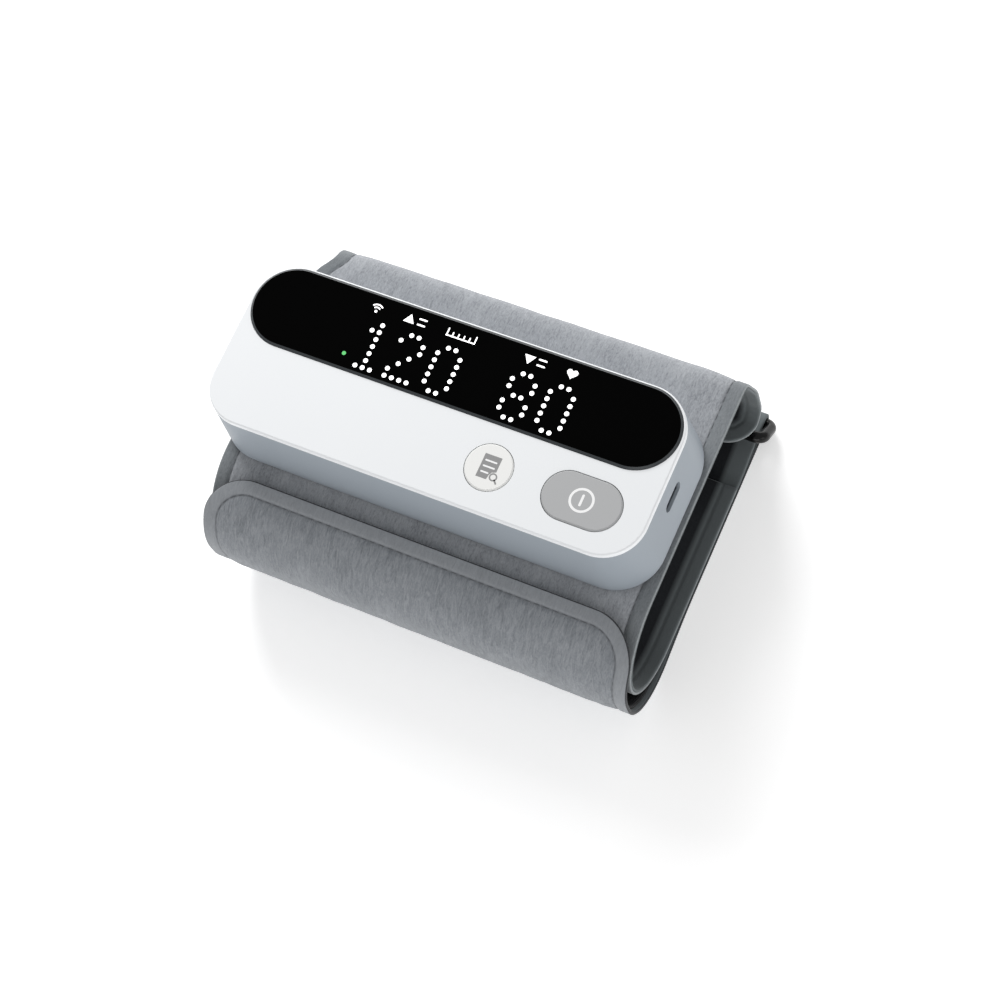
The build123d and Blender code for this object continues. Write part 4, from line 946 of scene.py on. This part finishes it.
# Each digit's lit dots by row from the top, as columns counted from its left.
DIGITS = {
    "0": ("12", "03", "03", "03", "03", "03", "12"),
    "1": ("1", "01", "1", "1", "1", "1", "012"),
    "2": ("12", "03", "3", "2", "1", "0", "0123"),
    "8": ("12", "03", "03", "12", "03", "03", "12"),
}
READING = (("1", 1), ("2", 5), ("0", 10), ("8", 20), ("0", 25))


def display_marks():
    """Reading in dots, with the generic signs above it."""
    marks = Marks(LENS_TOP, DOTS_SHIFT)
    for digit, first_column in READING:
        for row, lit in enumerate(DIGITS[digit]):
            for column in lit:
                x = (first_column + int(column) - MIDDLE_COLUMN) * DOT_PITCH_X
                marks.disc(x, TOP_DOT_Y - row * DOT_PITCH_Y, DOT_R)
    level_sign(marks, UPPER_X, SYMBOL_Y, 1)
    level_sign(marks, LOWER_X, SYMBOL_Y, -1)
    scale_sign(marks, SCALE_X, SYMBOL_Y - 1.0)
    wireless_sign(marks, WIRELESS_X, SYMBOL_Y - 1.2)
    heart(marks, HEART_X, SYMBOL_Y, HEART_SIZE)
    marks.piece("display_reading", lit_white, "led", "monitor_and_cuff")
    ready = Marks(LENS_TOP, DOTS_SHIFT)
    green_x = (GREEN_COLUMN - MIDDLE_COLUMN) * DOT_PITCH_X
    ready.disc(green_x, TOP_DOT_Y - GREEN_ROW * DOT_PITCH_Y, GREEN_R)
    ready.piece("ready_light", lit_green, "led", "monitor_and_cuff")


def scale_sign(marks, x, y):
    """Short scale on a level line, with its first and last marks longer."""
    end = x + SCALE_PITCH * (SCALE_MARKS - 1)
    for index in range(SCALE_MARKS):
        tall = 2.1 if index in (0, SCALE_MARKS - 1) else 1.2
        at = x + SCALE_PITCH * index
        marks.bar((at, y), (at, y + tall), SCALE_STROKE)
    marks.bar((x, y), (end, y), SCALE_STROKE)


def level_sign(marks, x, y, up):
    """Arrowhead and a level mark, for the upper or the lower value."""
    marks.prism([(x - 1.7, y - 1.2 * up), (x + 1.7, y - 1.2 * up), (x, y + 1.5 * up)][::up])
    marks.bar((x + 2.9, y - 0.9), (x + 5.0, y - 0.9), 0.5)
    marks.bar((x + 2.9, y + 0.9), (x + 5.0, y + 0.9), 0.5)


def wireless_sign(marks, x, y):
    marks.disc(x, y, 0.42)
    for radius in (1.25, 2.15):
        marks.arc(x, y, radius, 0.42, 45.0, 90.0)


def heart(marks, x, y, size):
    """Filled heart, from the usual curve."""
    outline = []
    for index in range(48):
        t = 2 * math.pi * index / 48
        across = 16 * math.sin(t) ** 3
        rise = 13 * math.cos(t) - 5 * math.cos(2 * t) - 2 * math.cos(3 * t) - math.cos(4 * t)
        outline.append((x - across * size / 16, y + rise * size / 16))
    marks.prism(outline)


def button_marks():
    """List card with a magnifier on one button, ring and bar on the other."""
    low, high = box_mm("memory_button")
    x, y = (low.x + high.x) / 2 - BODY_X, (low.y + high.y) / 2
    card = Marks(high.z)
    card.prism([(x - 2.45, y - 3.55), (x + 0.75, y - 3.55), (x + 1.0, y - 2.2), (x + 1.5, y - 1.2),
                (x + 2.7, y - 0.75), (x + 2.7, y + 3.6), (x - 2.45, y + 3.6)])
    card.arc(x + 2.45, y - 2.35, 1.0, 0.42)
    card.bar((x + 3.1, y - 3.05), (x + 3.85, y - 3.9), 0.5)
    card.piece("memory_sign", print_grey, "button_white", "memory_button")
    lines = Marks(high.z + PRINT_T)
    for end, rise in ((1.7, 1.75), (1.7, 0.0), (0.5, -1.75)):
        lines.bar((x - 1.5, y + rise), (x + end, y + rise), 0.5)
    lines.piece("memory_sign_lines", print_white, "button_white", "memory_button")
    low, high = box_mm("start_button")
    x, y = (low.x + high.x) / 2 - BODY_X, (low.y + high.y) / 2
    power = Marks(high.z)
    power.arc(x, y, 3.28, 0.72)
    power.bar((x, y - 1.45), (x, y + 1.45), 0.72)
    power.piece("start_sign", print_white, "button_white", "start_button")


# Studio
def camera():
    data = bpy.data.cameras.new("camera")
    data.lens = CAMERA_LENS
    data.sensor_width = SENSOR_WIDTH
    data.sensor_fit = "HORIZONTAL"
    data.clip_start = 0.01
    data.clip_end = 20.0
    made = bpy.data.objects.new("camera", data)
    bpy.context.scene.collection.objects.link(made)
    right, up = Vector(CAMERA_RIGHT).normalized(), Vector(CAMERA_UP)
    back = right.cross(up).normalized()
    up = back.cross(right)
    turn = Matrix((right, up, back)).transposed().to_4x4()
    made.matrix_world = Matrix.Translation(Vector(CAMERA_AT) * MM) @ turn
    bpy.context.scene.camera = made


def floor():
    mesh = bpy.data.meshes.new("floor")
    corners = ((-1, -1), (1, -1), (1, 1), (-1, 1))
    points = [(x * FLOOR_HALF, y * FLOOR_HALF, 0) for x, y in corners]
    mesh.from_pydata(points, [], [(0, 1, 2, 3)])
    made = bpy.data.objects.new("floor", mesh)
    bpy.context.scene.collection.objects.link(made)
    nodes = Nodes("floor")
    tone = nodes.noise(nodes.solid((0.6, 0.6, 0.6)), 2.0)
    shade = nodes.ramp(tone, [(0.3, (0.98, 0.98, 0.98, 1)), (0.7, (1.0, 1.0, 1.0, 1))])
    nodes.set(base=shade, roughness=0.9, specular=0.0)
    nodes.set(emission=(1, 1, 1, 1), emission_strength=0.37)
    mesh.materials.append(nodes.material)
    made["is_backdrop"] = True


def area_light(name, place, size, power, target=(0.0, 0.0, 0.03)):
    data = bpy.data.lights.new(name, "AREA")
    data.shape = "RECTANGLE"
    data.size, data.size_y = size
    data.energy = power
    made = bpy.data.objects.new(name, data)
    bpy.context.scene.collection.objects.link(made)
    made.location = place
    made.rotation_mode = "QUATERNION"
    made.rotation_quaternion = (Vector(target) - Vector(place)).to_track_quat("-Z", "Y")


def studio():
    world = bpy.data.worlds.new("studio")
    world.use_nodes = True
    background = world.node_tree.nodes["Background"]
    background.inputs["Color"].default_value = (1.0, 1.0, 1.0, 1.0)
    background.inputs["Strength"].default_value = WORLD_STRENGTH
    bpy.context.scene.world = world
    area_light("key", (-0.5, 0.64, 0.62), (0.5, 0.5), 7.6)
    area_light("front", (0.6, -1.4, 0.4), (1.2, 0.5), 5.0)
    area_light("side", (1.3, -0.2, 0.5), (0.8, 0.6), 1.5)
    bpy.context.scene.view_settings.view_transform = "Standard"


dress_nodes()
cuff()
display_marks()
button_marks()
camera()
floor()
studio()

boxes = {"cad": cad_box, "visual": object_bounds()}
{name: [list(low), list(high)] for name, (low, high) in boxes.items()}
